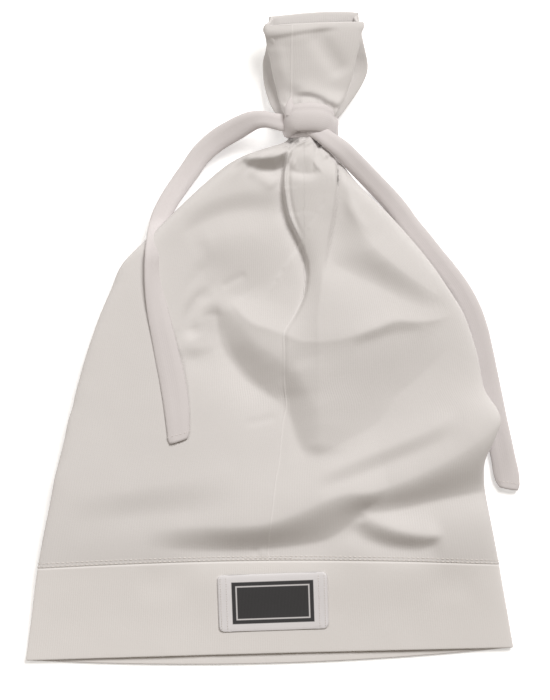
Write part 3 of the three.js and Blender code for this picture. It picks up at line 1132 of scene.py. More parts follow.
# Slopes of the crown's front, from the tie down to the band.
CROWN_SHELVES = (
    # tuck under the left shoulder's roll, and the soft bands below it
    Shelf(((-17, 99.2), (-9.7, 98.8), (-1, 99), (5, 100.4), (10, 102.6), (13, 104.6)),
          ((-16.5, 97.4), (-10.8, 95), (-4.8, 92.8), (0, 92.4), (5, 93.2), (10, 96), (13, 98.4)),
          (0, 4, 6.6, 7.2, 6.4, 0), lift=0.7, bend=1.2, back=6, front=5),
    Shelf(((-49.7, 64.7), (-38.6, 73), (-26.4, 78.5), (-13.6, 81.3), (3.1, 82.4)),
          ((-50.8, 55.8), (-38.6, 62.4), (-26.4, 67.4), (-13.6, 69.7), (4.7, 69.1)),
          (0, 1.6, 2, 2, 1.4), soft=1, back=8, front=8),
    Shelf(((-44.1, 51.3), (-33, 54.7), (-19.1, 56.9), (-8, 55.8), (-0.8, 50.8), (4.7, 43.6),
           (9.7, 35.2), (15.8, 25.8)),
          ((-45.2, 42.5), (-36.9, 36.9), (-31.4, 30.2), (-23, 25.8), (-10.8, 22.5), (-0.8, 20.3),
           (6.9, 19.1), (14.7, 20.8)),
          (0, 2.4, 3.4, 3.4, 3, 1.8, 0.6, 0), soft=1, back=14, front=12),
    # pocket that the tie presses into the tongue's top
    Shelf(((10.5, 100.5), (15, 102.6), (20, 103.5), (25, 103.3), (29, 102)),
          ((10.5, 93.5), (15, 91.2), (20, 90.4), (25, 91.2), (28.5, 93.5)),
          (0, 2.8, 3.6, 2.8, 0), lift=0.2, soft=0.4, back=4, front=2.5),
    # second pleat's left flank, and the broad slope that it turns into
    Shelf(((39.1, 81.3), (43, 73), (47.4, 65), (51.6, 57.4), (57.4, 50), (65.4, 43), (74, 36.4),
           (83, 30), (92, 24), (100.2, 14.7)),
          ((36.5, 78), (35.5, 70), (34.6, 60), (34, 50), (36, 41.5), (46.5, 35), (59, 29),
           (72.4, 22), (83.5, 17.6), (98, 12)),
          (0, 1.6, 3.2, 5, 6.6, 6.6, 5.4, 4, 2.6, 1.2, 0), lift=0.6, soft=0.7, back=14, front=12),
    # long lip across the middle, over the wide hollow that it hangs into
    Shelf(((-29.1, 23.6), (-24.7, 21.9), (-19.7, 18), (-14.7, 12.5), (-8.6, 8), (-0.5, 5.3), (7.5, 2.5),
           (16.9, -1.4), (24.7, -1.9), (33, -1.4), (40.8, -0.3), (52.4, 3.1), (63, 6.9), (70.2, 9.7),
           (83.5, 9.2), (94.6, 10.8), (104, 14.7)),
          ((-31.4, 21.4), (-27.5, 14.7), (-24.1, 1.9), (-19.7, -9.7), (-10.8, -21.4), (-0.8, -29.7),
           (7.5, -37.5), (13, -45.8), (18.6, -56.9), (23.6, -65.2), (33.6, -61.4), (44.7, -55.3),
           (56.9, -48.7), (64.1, -41.3), (69.5, -32), (78.5, -24.7), (89.1, -15.3), (98.5, -3.6),
           (104.6, 9.2)),
          (0, 4.4, 6, 6.8, 6.6, 6, 6.2, 7.2, 7.8, 7, 5.2, 3, 0), lift=0.7, back=30, front=20, peak=1.05,
          first_lift=0.15),
    # its sharp left flank, and the one that starts again past the seam
    Shelf(((-26.6, 23.6), (-23, 17.4), (-18, 11.4), (-12.8, 4.7), (-6.4, -3.2), (1.6, -8.6), (7.4, -14),
           (9, -20), (8.6, -28), (8.2, -37)),
          ((-29, 22.4), (-29.4, 16), (-29, 9), (-28, 2), (-25.4, -6), (-19.8, -14.5), (-13.4, -22.5),
           (-5, -29), (2, -33.4), (7.2, -38)),
          (0, 4, 5.2, 5.8, 6, 5.6, 4.2, 2, 0), lift=0.8, bend=1.7, soft=0.25, back=16, front=9,
          first_lift=0.3),
    Shelf(((12.5, -10), (17, -20), (21.6, -29.7), (25, -36.9), (27.4, -45.2), (28.4, -56.3),
           (27.4, -68)),
          ((10.6, -12), (10.2, -24), (10.2, -32), (10.8, -39), (12, -46.5), (15.6, -57), (22.4, -69)),
          (0, 1.8, 3, 3.6, 3.4, 2.4, 0), lift=0.8, bend=1.8, soft=0.1, back=16, front=6),
    # soft roll under the lip's right half
    Shelf(((43, 1), (56.9, 6), (66, 9.5), (76, 9.8), (88, 9.6)),
          ((43, -6), (57, -1.5), (66, 1.5), (76, 3), (88, 3.6)),
          (0, 1.2, 1.6, 1, 0), lift=0.6, soft=1, back=6, front=6),
    # small slope beside the arch
    Shelf(((-54, -3), (-42, -4), (-29, -3)), ((-54, -11), (-42, -12.4), (-29, -11)),
          (0, 1.5, 0), soft=1, back=7, front=7),
    # band of slack cloth above the big valley
    Shelf(((20, -78), (36, -71.5), (52, -65), (70, -58), (88, -50), (108, -39)),
          ((20, -86), (37, -80.5), (54, -74.5), (72, -67.5), (91, -59.5), (111, -49)),
          (0, 2, 2.6, 2.6, 2.2, 0), soft=1, back=9, front=7),
    # valley from low on the left, past its sharp head, and on to the right outline
    Shelf(((-77.4, -108.6), (-58, -106), (-38.6, -104), (-15.8, -103.6), (0.3, -101.7), (17.3, -95.6),
           (33, -88.4), (43.5, -85.4), (52.5, -85.2), (61, -83.4), (76.7, -77.6), (93.7, -69.8),
           (107, -62.4), (119.2, -54.2), (130, -46)),
          ((-77.4, -114.6), (-58, -116.6), (-38.6, -117.8), (-15.8, -118), (0.3, -117), (17.3, -115),
           (30, -112.4), (39, -108), (46.5, -101.6), (54, -97.6), (64, -96.4), (77.5, -93.8),
           (94.5, -89.8), (119.2, -85), (130, -84)),
          (0, 2.2, 4.6, 7.2, 9, 10, 10.6, 9.4, 7.4, 9, 11, 12.4, 12.4), lift=0.7, bend=1.3, soft=0.6,
          back=24, front=11),
    # its branch to the right
    Shelf(((49.6, -94), (52.8, -98), (58, -101), (65, -103.8), (73, -106.4), (84, -108.4),
           (99, -109.4)),
          ((43.4, -99), (45, -105), (50, -110), (59, -114.4), (70, -117), (84, -117.6), (99, -113.6)),
          (0, 3.8, 5.4, 5.8, 5.2, 3.8, 0), lift=0.6, soft=1, back=8, front=7),
    # small pucker over the seam's end, and the faint shade low on the left
    Shelf(((-5.4, -116), (-4.6, -119), (-4.4, -122)), ((-7.6, -116), (-7.4, -119), (-7, -122)),
          (0, 0.8, 0), soft=1, back=2, front=2),
    Shelf(((-115, -88), (-80, -84), (-45, -78), (-12, -72)),
          ((-115, -104), (-78, -99), (-42, -96), (-10, -92)),
          (0, 1.6, 2, 0), soft=1, back=16, front=10),
)

# Narrow grooves and rolls of the crown's front.
CROWN_FOLDS = (
    Fold(1.6, 1.2, 3, 3, ((38.3, 101), (40.5, 90), (43, 80), (46, 70), (51, 62), (58, 55)),
         crisp=1.5, fade_in=0.12, fade_out=0.4),
    Fold(-1.6, -1.6, 3.4, 3.4,
         ((-29, 26), (-33, 25.6), (-38.6, 21.4), (-43.4, 14), (-44, 6), (-40, -1)), fade_in=0.3),
    Fold(-0.5, -0.5, 1.8, 1.8, ((-27, 27.7), (-22, 30.8), (-17, 33.4), (-12, 35.6)), crisp=1.4),
    Fold(2, 2, 4, 4, ((12, 106.4), (4, 103.6), (-9, 101.2), (-21, 98.4)), fade_in=0.1),
    Fold(0.9, 0.9, 3, 3, ((-12, 94), (-4, 89), (4, 83))),
    Fold(-0.8, -0.8, 2, 2, ((69, 66), (78.5, 55), (88.5, 43), (94, 34.7))),
    Fold(-0.25, -0.25, 1.6, 1.6, ((-14, -47.5), (-5, -45.5), (5, -43.6))),
    Fold(2.6, 2.6, 3, 3, ((14.6, 110), (20, 109), (25, 109.6)), fade_in=0.15, fade_out=0.15),
    Fold(-2.4, -2.4, 1.8, 1.8, ((10.4, 113), (12, 110.5), (13, 106.5)), fade_in=0.1),
    Fold(-2.4, -2.4, 1.8, 1.8, ((25.6, 112), (27.4, 109.5), (29.6, 105.5)), fade_in=0.1),
    Fold(1.6, 1.6, 2.6, 2.6, ((27, 105), (30.4, 102.6), (33, 99.6))),
)


@dataclass(frozen=True)
class TongueRow:
    """The tongue pleat at one place along.

    left and right are its edges, rise its height, trench and gap the depth and width
    of the trench on its left, drop the fall on its right, keep the share of the rise
    that the cloth keeps beyond it, and flat how flat its face is up to the right edge.
    """

    y: float
    left: float
    right: float
    rise: float
    trench: float
    gap: float
    drop: float
    keep: float
    flat: float


TONGUE_ROWS = tuple(TongueRow(*row) for row in (
    (-84, 9, 27.2, 0, 0, 2, 0, 1, 1.6),
    (-64, 9, 27.2, 0.6, 0, 2, 0, 1, 1.6),
    (-36, 9, 27.2, 2.4, 0, 2, 0, 1, 1.6),
    (-12, 9, 27.2, 4.3, 0, 2, 0, 1, 1.5),
    (-2.2, 9, 27.2, 5, 0, 2, 0, 1, 1.4),
    (3, 9.4, 27.2, 5.8, 0, 2, 0.1, 1, 1.3),
    (11, 14, 27.2, 6.5, 0.2, 2, 0.3, 1, 1.1),
    (21, 18.6, 28.4, 7, 0.8, 2.4, 0.4, 1, 1),
    (32.5, 21, 29.6, 7, 1.4, 3, 0.5, 1, 0.9),
    (40, 20.8, 30.6, 6.8, 1.8, 4.5, 0.6, 0.9, 0.7),
    (47.5, 18.8, 31.9, 6.6, 2.2, 5.4, 0.7, 0.8, 0.4),
    (56, 15.2, 33.2, 6.4, 2.4, 5.8, 0.7, 0.7, 0.1),
    (66, 10.8, 35, 6.2, 2.4, 5.4, 0.7, 0.7, 0),
    (78, 8.2, 36.6, 6, 2, 4.4, 0.8, 0.7, 0),
    (90, 7.6, 37, 5.4, 1.6, 3.4, 1, 0.5, 0),
    (99.5, 9.4, 36.6, 3.6, 1.4, 3, 1, 0.3, 0),
    (106, 12, 34, 1.6, 0.8, 3, 0.6, 0, 0),
    (112, 14, 32, 0.4, 0, 3, 0, 0, 0),
))


@dataclass(frozen=True)
class Tongue:
    """The long pleat that hangs from the tie, rolled at its left edge.

    rim and soft are half the widths of its left and right steps, base and high_base
    the share of the rise at the left edge of a flat and of a domed face, crest where
    a domed face is highest, roll the left edge's roll and roll_from where it starts
    and is whole, and full_rise the rise that carries all of it. drop_reach and
    keep_reach are how far the right side's drop and rise go on.
    """

    rows: tuple[TongueRow, ...] = TONGUE_ROWS
    rim: float = 1.0
    soft: float = 0.9
    base: float = 0.25
    high_base: float = 0.36
    crest: float = 0.75
    roll: float = 1.3
    roll_from: tuple[float, float] = (52.0, 68.0)
    full_rise: float = 7.0
    drop_reach: float = 1.6
    keep_reach: float = 30.0

    def height(self, x: Array, y: Array) -> Array:
        """Height that the pleat adds.

        Args:
            x: Places across.
            y: Places along.

        Returns:
            The heights, of the same shape.
        """
        table = np.array([astuple(row) for row in self.rows])
        places = np.clip(y.ravel(), table[0, 0], table[-1, 0])
        smooth = spline_columns(table[:, 0], table, places).T.reshape(len(table[0]), *y.shape)
        _, left, right, rise, trench, gap, drop, keep, flat = smooth
        inside, beyond = x - left, x - right
        across = inside / np.maximum(right - left, 1.0)
        domed = 1.0 - (1.0 - np.clip(across / self.crest, 0.0, 1.0)) ** 2
        tilted = np.clip(across, 0.0, 1.0)
        base = self.base * flat + self.high_base * (1.0 - flat)
        face = rise * (base + (1.0 - base) * (flat * tilted + (1.0 - flat) * domed))
        rolled = np.exp(-(((inside - 0.9) / 0.8) ** 2)) - 0.8 * np.exp(-(((inside - 2.9) / 1.0) ** 2))
        face = face + self.roll * smooth_step(y, *self.roll_from) * (rise / self.full_rise) * rolled
        on_face = smooth_step(inside, -self.rim, self.rim)
        past_face = smooth_step(beyond, -self.soft, self.soft)
        low_left = -trench * np.exp(-((np.maximum(-inside, 0.0) / gap) ** 2.0))
        reach = np.maximum(beyond, 0.0)
        low_right = (rise * keep * np.exp(-((reach / self.keep_reach) ** 2))
                     - drop * np.exp(-((reach / self.drop_reach) ** 1.8)))
        right_side = (1.0 - past_face) * face + past_face * low_right
        return on_face * right_side + (1.0 - on_face) * low_left


BAND_FOLDS = (
    Fold(-0.7, -0.7, 10, 10, ((-80, -133), (-58, -135), (-38, -134)), fade_in=0.4, fade_out=0.4),
    Fold(-0.7, -0.7, 9, 9, ((84, -135), (103, -137), (120, -136)), fade_in=0.4, fade_out=0.4),
)

HAT_RELIEF: tuple[Relief, ...] = (*CROWN_SHELVES, *CROWN_FOLDS, *BAND_FOLDS, Tongue())


CROWN_SEAM: tuple[Plan, ...] = (
    (19.1, 24), (13, 11.9), (8, 3.3), (8, -6.9), (8, -23), (9.2, -37.5), (7.5, -46.9), (6.4, -58.6),
    (5.1, -70.8), (3.6, -78.5), (1.4, -97), (-0.8, -116.3), (-0.2, -124.5),
)


@dataclass(frozen=True)
class RuffRow:
    """One section of the ruff: front panel, back panel and the tucks between.

    front_top and back_edge are heights, as floor is, tuck how deep the tucks run in,
    and reach how far the rim's back stands past its front.
    """

    y: float
    front_left: float
    front_right: float
    front_top: float
    back_left: float
    back_right: float
    back_edge: float
    tuck: float
    floor: float
    reach: float = 0.0


RUFF_ROWS = tuple(RuffRow(*row) for row in (
    (117.0, 10.6, 35.0, 22.8, 10.6, 35.0, 12.0, 0.6, 4.5),
    (120.5, 9.6, 35.6, 23.4, 8.6, 36.6, 11.6, 1.6, 4.5),
    (124.0, 8.0, 36.9, 24.8, 4.4, 39.6, 10.4, 3.2, 3.6),
    (130.0, 5.6, 40.0, 24.2, 0.4, 44.0, 8.4, 5.6, 2.2),
    (136.0, 4.0, 42.8, 23.4, -1.7, 48.2, 7.0, 7.4, 1.2),
    (142.0, 2.6, 45.0, 24.3, -3.1, 51.8, 6.0, 8.6, 0.8),
    (149.6, 0.8, 46.9, 25.6, -3.8, 54.6, 6.2, 9.2, 2.0),
    (154.5, 0.0, 47.9, 26.4, -3.6, 54.4, 8.4, 8.6, 5.2),
    (159.0, -1.3, 49.2, 27.2, -2.3, 53.2, 12.2, 7.2, 9.6, 0.4),
    (164.0, -2.0, 50.2, 28.0, -1.2, 51.6, 16.4, 5.4, 14.4, 2.0),
    (168.5, -2.9, 51.0, 28.5, -0.6, 50.2, 18.8, 4.0, 17.2, 4.4),
    (171.4, -3.9, 52.2, 28.6, -0.4, 49.4, 19.4, 3.2, 17.9, 6.0),
    (173.2, -3.6, 52.0, 28.4, -0.4, 49.2, 19.5, 3.0, 18.0, 6.8),
))

RUFF_FOLDS = (
    Fold(-1.6, -1.6, 5, 4.5, ((24, 170.4), (30.8, 158.6), (36.4, 150.4), (41, 143.6))),
    Fold(0.5, -0.5, 2.8, 2.2, ((-4, 164.8), (12, 167.2), (26.6, 169.4), (40, 170.6)),
         edge=0.8, fade_in=0.05),
    Fold(1.6, -1.5, 5, 4,
         ((11, 133.4), (16, 134.6), (22, 134.6), (27.9, 132.8), (33, 129.8), (40, 126.8)),
         edge=1.0, fade_in=0.3, fade_out=0.1),
    Fold(-1.2, -1.2, 3, 3, ((9, 128), (13, 134), (15, 141)), fade_in=0.1, fade_out=0.5),
    Fold(0.8, 0.8, 2.4, 2.4, ((4.6, 166), (6.4, 150), (9.4, 138)), fade_in=0.3, fade_out=0.4),
)

# Gathers of the ruff: where they end and over what length they fade, in millimetres,
# and their turn in a millimetre, phase and height.
RUFF_GATHERS_END, RUFF_GATHERS_FADE = 136.0, 16.0
RUFF_GATHERS = (1.35, 0.6, 0.6)

# Pleats under the tie: height in millimetres, turn across half the neck, and phase;
# and the two places between which they grow.
NECK_GATHERS = ((0.35, 17.0, 0.5), (0.2, 29.0, 2.0))
NECK_GATHERS_GROW = (84.0, 110.0)

RUFF_SEAM: tuple[Plan, ...] = ((12.4, 176), (12.2, 160), (12.1, 145), (12.0, 133), (12.4, 122))


def neck_gathers(y: Array, across: Array) -> Array:
    """Small pleats that run out from under the tie.

    Args:
        y: Places along.
        across: Places across, from -1 to 1.

    Returns:
        Their height.
    """
    pleats = sum(height * np.cos(turn * across + phase) for height, turn, phase in NECK_GATHERS)
    return smooth_step(y, *NECK_GATHERS_GROW) * pleats


# Value of a seam's distance where the cloth has no seam, in millimetres.
NO_SEAM = 6.0


@dataclass
class Crown:
    """The jersey tube of the hat: the body up to the tie and the ruff above it.

    step and lining_step are the rings' spacings outside and inside, gap the air
    to the band, and top and under the places of a ring in front and behind.
    """

    finish: Material
    wall: float = 1.7
    gap: float = 0.05
    step: float = 1.2
    lining_step: float = 2.4
    top: int = 224
    under: int = 56
    ruff_rings: int = 62
    tube: LyingTube = LyingTube(CROWN_SECTIONS, HAT_RELIEF, wander=0.3, gathers=neck_gathers)

    def build(self) -> list[Object]:
        """Makes the body and the ruff.

        Returns:
            The two pieces.
        """
        return [self.body(), self.ruff()]

    def body(self) -> Object:
        """Makes the tube from the band's seam up into the tie, open at both ends.

        Returns:
            The finished piece.
        """
        outer = self.tube.outside(self.step, self.top, self.under)
        inside = self.tube.places(self.lining_step)[::-1]
        inner = sunken(self.tube.rings(inside, self.wall, self.top, self.under), self.top)
        for rings in (outer, inner):
            low = rings[:, :, 1] < self.tube.sections[0].spine + 2.0
            rings[:, :, 1] += np.where(low, self.gap, 0.0)
        points = np.concatenate([outer, inner], axis=0)
        seam = seam_distance(CROWN_SEAM, points[:, :, 0], points[:, :, 1], NO_SEAM)
        seam[:, self.top :] = NO_SEAM
        seam[len(outer) :] = NO_SEAM
        skin = Skin("crown_body", points, cloth_map(points), endless_run=True, values={"seam": seam})
        return dress(skin.build(), self.finish, Slot.JERSEY, "crown")

    def ruff(self) -> Object:
        """Makes the gathered top, a tube with a tuck in each side and an open rim.

        Returns:
            The finished piece.
        """
        table = np.array([astuple(row) for row in RUFF_ROWS])
        known = table[:, 0]
        smooth = spline_columns(known, table, np.linspace(known[0], known[-1], self.ruff_rings))
        outer, front = self.ruff_shape({f.name: smooth[:, i] for i, f in enumerate(fields(RuffRow))})
        cloth = relief(RUFF_FOLDS, outer[:, :, 0], outer[:, :, 1])
        fade = smooth_step(RUFF_GATHERS_END - outer[:, :, 1], 0.0, RUFF_GATHERS_FADE)
        rate, phase, height = RUFF_GATHERS
        pleats = np.cos(outer[:, :, 0] * rate + phase) * fade * height
        outer[:, :, 2] += front * (cloth + pleats)
        seam = seam_distance(RUFF_SEAM, outer[:, :, 0], outer[:, :, 1], NO_SEAM)
        seam = np.where(front > 0.5, seam, NO_SEAM)
        inner = inset_rings(outer, self.wall)
        lip = []
        for turn in np.linspace(0.0, math.pi, 6)[1:-1]:
            share = (1.0 - math.cos(turn)) / 2.0
            ring = outer[-1] * (1.0 - share) + inner[-1] * share
            ring[:, 1] += self.wall / 2.0 * math.sin(turn)
            lip.append(ring)
        points = np.concatenate([outer, np.array(lip), inner[::-1]], axis=0)
        distance = np.full(points.shape[:2], NO_SEAM)
        distance[: len(outer)] = seam
        skin = Skin("ruff", points, cloth_map(points), endless_run=True, values={"seam": distance})
        return dress(skin.build(), self.finish, Slot.JERSEY, "crown")

    def ruff_shape(self, row: dict[str, Array]) -> tuple[Array, Array]:
        """Rounded rings through the corners of the ruff's sections.

        Args:
            row: The section sizes, a value for each ring.

        Returns:
            The rings, and how much each place belongs to the front panel.
        """
        left, right, top = row["front_left"], row["front_right"], row["front_top"]
        wide = right - left
        middle = (top + row["back_edge"]) / 2.0
        back_left, back_right = row["back_left"], row["back_right"]
        edge, floor, tuck = row["back_edge"], row["floor"], row["tuck"]
        span = back_right - back_left
        sag = 1.0 - 0.5 * smooth_step(row["y"], 160.0, 171.0)
        # x, z, share of the front panel, and share of the rim's reach
        corners = [
            (left - 0.5, top - 9.5 * sag, 0.2, -0.3),
            (left + 0.04 * wide, top - 6.8 * sag, 1.0, -0.28),
            (left + 0.22 * wide, top - 2.8 * sag, 1.0, -0.16),
            (left + 0.5 * wide, top - 0.8, 1.0, -0.06),
            (left + 0.78 * wide, top - 0.2, 1.0, 0.0),
            (right - 0.03 * wide, top - 0.6, 1.0, 0.03),
            (right + 0.6, top - 2.2, 0.2, 0.03),
            (right - 1.2, top - 4.6, 0.0, 0.03),
            (right - 0.8 * tuck, middle, 0.0, 0.06),
            (right - tuck, middle - 1.2, 0.0, 0.22),
            (back_right - 1.6, edge + 1.6, 0.0, 0.56),
            (back_right + 0.5, edge, 0.0, 0.82),
            (back_right - 0.6, floor + 1.2, 0.0, 0.86),
            (back_right - 0.14 * span, floor - 0.2, 0.0, 1.0),
            (back_left + 0.5 * span, floor, 0.0, 0.95),
            (back_left + 0.14 * span, floor - 0.2, 0.0, 0.66),
            (back_left + 0.6, floor + 1.2, 0.0, 0.56),
            (back_left - 0.5, edge, 0.0, 0.52),
            (back_left + 1.6, edge + 1.2, 0.0, 0.44),
            (left + tuck, middle - 1.2, 0.0, 0.2),
            (left + 0.8 * tuck, middle, 0.0, -0.1),
            (left + 1.4, top - 11.4 * sag, 0.0, -0.2),
        ]
        stacked = np.array([
            np.stack([x, row["y"] + row["reach"] * share, z, np.full(left.shape, front)])
            for x, z, front, share in corners
        ])
        rounded = closed_b_spline(stacked.transpose(2, 0, 1), 8)
        return rounded[:, :, :3].copy(), smooth_step(rounded[:, :, 3], 0.1, 0.9)


def spline_columns(known: Array, table: Array, wanted: Array) -> Array:
    """Smooth curve through each column of a table.

    Args:
        known: Rising place of each row.
        table: The rows.
        wanted: Places to return.

    Returns:
        The columns at the wanted places.
    """
    slopes = np.gradient(table, known, axis=0)
    index = np.clip(np.searchsorted(known, wanted, side="right") - 1, 0, len(known) - 2)
    span = (known[index + 1] - known[index])[:, None]
    part = ((wanted - known[index])[:, None]) / span
    return hermite(part, table[index], table[index + 1], slopes[index], slopes[index + 1], span)


def closed_b_spline(corners: Array, steps: int) -> Array:
    """Rounds closed rings of corners.

    Args:
        corners: Rings by corners by values.
        steps: Places between two corners.

    Returns:
        Rings by places by values.
    """
    part = np.arange(steps)[:, None] / steps
    weights = [(1 - part) ** 3 / 6, (3 * part**3 - 6 * part**2 + 4) / 6,
               (-3 * part**3 + 3 * part**2 + 3 * part + 1) / 6, part**3 / 6]
    made = []
    for i in range(corners.shape[1]):
        around = [corners[:, (i + k) % corners.shape[1]][:, None, :] for k in (-1, 0, 1, 2)]
        made.append(sum(w[None] * a for w, a in zip(weights, around)))
    return np.concatenate(made, axis=1)


def sunken(rings: Array, top: int) -> Array:
    """Lowers the inner face of a folded wall, so that it stays under steep slopes.

    Args:
        rings: Rings of the inner face.
        top: Places of the front layer.

    Returns:
        The rings, each front place as low as its lowest neighbour.
    """
    low = rings[:, :top, 2].copy()
    for way in (0, 1):
        padded = np.pad(low, [(1, 1) if axis == way else (0, 0) for axis in (0, 1)], mode="edge")
        count = low.shape[way]
        low = np.minimum.reduce([np.take(padded, np.arange(count) + k, axis=way) for k in range(3)])
    made = rings.copy()
    made[:, :top, 2] = low
    return made


def inset_rings(rings: Array, depth: float) -> Array:
    """Moves rings inwards in their sections, for the inner face of a wall.

    Args:
        rings: Rings by places by XYZ, running over the front from left to right.
        depth: How far, in millimetres.

    Returns:
        The moved rings.
    """
    run = np.roll(rings, -1, axis=1) - np.roll(rings, 1, axis=1)
    length = np.maximum(np.hypot(run[:, :, 0], run[:, :, 2]), 1e-9)
    moved = rings.copy()
    moved[:, :, 0] += depth * run[:, :, 2] / length
    moved[:, :, 2] -= depth * run[:, :, 0] / length
    return moved


def dress(piece: Object, finish: Material, slot: Slot, *nodes: str) -> Object:
    """Gives a finished piece its material and its place in the frame.

    Args:
        piece: The piece.
        finish: Its material.
        slot: The record's slot; not used.
        *nodes: The frame's nodes that it stands for.

    Returns:
        The piece.
    """
    piece.data.materials.clear()
    piece.data.materials.append(finish)
    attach(piece, "root")
    if nodes:
        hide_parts(*nodes)
    LOG.info("%s: %d faces", piece.name, len(piece.data.polygons))
    return piece


# ---------------------------------------------------------------- band and label


BAND_SECTIONS = tuple(Section(*row) for row in (
    (-123.5, -129.2, -128, 127.8, -125.7, 12.6, 4.6, 4.6, 12, 12, 0, 6, 0),
    (-134, -130.5, -137, 129.2, -134, 10.6, 4.4, 4.4, 11, 11, 0, 6, -0.4),
    (-154, -133.1, -158, 132.6, -152.5, 6.8, 3.4, 3.4, 10, 10, 0, 6, -2.4),
    (-175, -136, -179, 136, -171.8, 4, 2.2, 2.2, 9, 9, 0.1, 5, -5.8),
))


@dataclass
class HeadBand:
    """The doubled jersey band round the head opening."""

    finish: Material
    wall: float = 1.6
    step: float = 1.4
    lining_step: float = 6.0
    top: int = 200
    under: int = 56
    tube: LyingTube = LyingTube(BAND_SECTIONS, HAT_RELIEF, wander=0.3)

    def build(self) -> Object:
        """Makes the band, folded over at its hem and open at both ends.

        Returns:
            The finished piece.
        """
        outer = self.tube.outside(self.step, self.top, self.under)
        up = self.tube.places(self.lining_step)[::-1]
        inner = self.tube.rings(up, self.wall, self.top, self.under)
        last = np.array([float(len(self.tube.sections) - 1)])
        hem = []
        for turn in np.linspace(0.0, math.pi, 8)[1:-1]:
            ring = self.tube.rings(last, self.wall / 2.0 * (1.0 - math.cos(turn)), self.top, self.under)
            ring[:, :, 1] -= self.wall / 2.0 * math.sin(turn)
            hem.append(ring)
        points = np.concatenate([outer, *hem, inner], axis=0)[::-1]
        skin = Skin("head_band_cloth", points, cloth_map(points), endless_run=True)
        return dress(skin.build(), self.finish, Slot.JERSEY, "head_band")


@dataclass
class SewnLabel:
    """The satin label, sewn flat on the band by its two turned ends.

    turned is how wide the ends are turned under and turn_rise how far they stand up,
    edge_drop and edge_reach how its edges bend down, and rows the distances of the
    two stitch rows of an end from the label's side.
    """

    finish: Material
    thread: Material
    x: float = 1.9
    y: float = -146.6
    width: float = 61.0
    height: float = 32.0
    corner: float = 3.0
    tilt: float = 0.035
    thickness: float = 0.5
    gap: float = 0.2
    turned: float = 6.2
    turn_rise: float = 0.15
    edge_drop: float = 0.25
    edge_reach: float = 0.6
    rows: tuple[float, float] = (4.8, 1.6)

    def place(self, u: Array, v: Array) -> Array:
        """Turns label places into plan places.

        Args:
            u: Places across the label, from its middle.
            v: Places along it.

        Returns:
            The plan places, with x and y last.
        """
        c, s = math.cos(self.tilt), math.sin(self.tilt)
        return np.stack([self.x + u * c - v * s, self.y + u * s + v * c], axis=-1)

    def build(self, band: Surface) -> list[Object]:
        """Makes the label and the stitches along its ends.

        Args:
            band: The finished band.

        Returns:
            The two pieces.
        """
        half_u, half_v = self.width / 2.0, self.height / 2.0
        quarter = np.linspace(0, math.pi / 2, 5)
        v = np.concatenate([
            -half_v + self.corner * (1 - np.cos(quarter)),
            np.linspace(-half_v + self.corner, half_v - self.corner, 24)[1:-1],
            half_v - self.corner * (1 - np.sin(quarter)),
        ])
        inwards = np.maximum(0.0, np.abs(v) - (half_v - self.corner))
        reach = half_u - self.corner + np.sqrt(np.maximum(self.corner**2 - inwards**2, 0.01))
        share = np.linspace(-1.0, 1.0, 64)
        u = share[None, :] * reach[:, None]
        flat = np.stack([u, v[:, None] + 0.0 * u], axis=2)
        top = band.drape(self.place(flat[:, :, 0], flat[:, :, 1]), self.gap + self.thickness)
        ends = np.abs(u) > half_u - self.turned
        top[:, :, 2] += np.where(ends, self.turn_rise, 0.0)
        edge = np.minimum(half_u - np.abs(u), half_v - np.abs(v)[:, None])
        top[:, :, 2] -= self.edge_drop * np.exp(-np.maximum(edge, 0.0) / self.edge_reach)
        bottom = top.copy()
        bottom[:, :, 2] -= self.thickness
        rings = np.concatenate([top, bottom[:, ::-1]], axis=1)
        uv = np.concatenate([flat, flat[:, ::-1], flat[:, :1]], axis=1)
        uv = np.concatenate([uv, uv[-1:]], axis=0)
        label = dress(Skin("satin_label", rings, uv).build(), self.finish, Slot.LABEL_SATIN, "label")
        column = np.linspace(-half_v + 2.0, half_v - 2.0, 40)
        stitch_height = self.gap + self.thickness + 0.3
        lines = []
        for side in (-1.0, 1.0):
            for offset in self.rows:
                across = np.full(column.shape, side * (half_u - offset))
                lines.append(band.drape(self.place(across, column), stitch_height))
        stitches = Stitching(
            "label_stitches", lines, self.thread, stitch=0.9, gap=0.5, width=0.4, height=0.3
        ).build(Slot.LABEL_SATIN)
        return [label, stitches]


# ---------------------------------------------------------------- tie


UPWARDS = (0.0, 0.0, 1.0)


def unit(rows: Array) -> Array:
    """Each row at the length of one."""
    return rows / np.linalg.norm(rows, axis=1, keepdims=True)


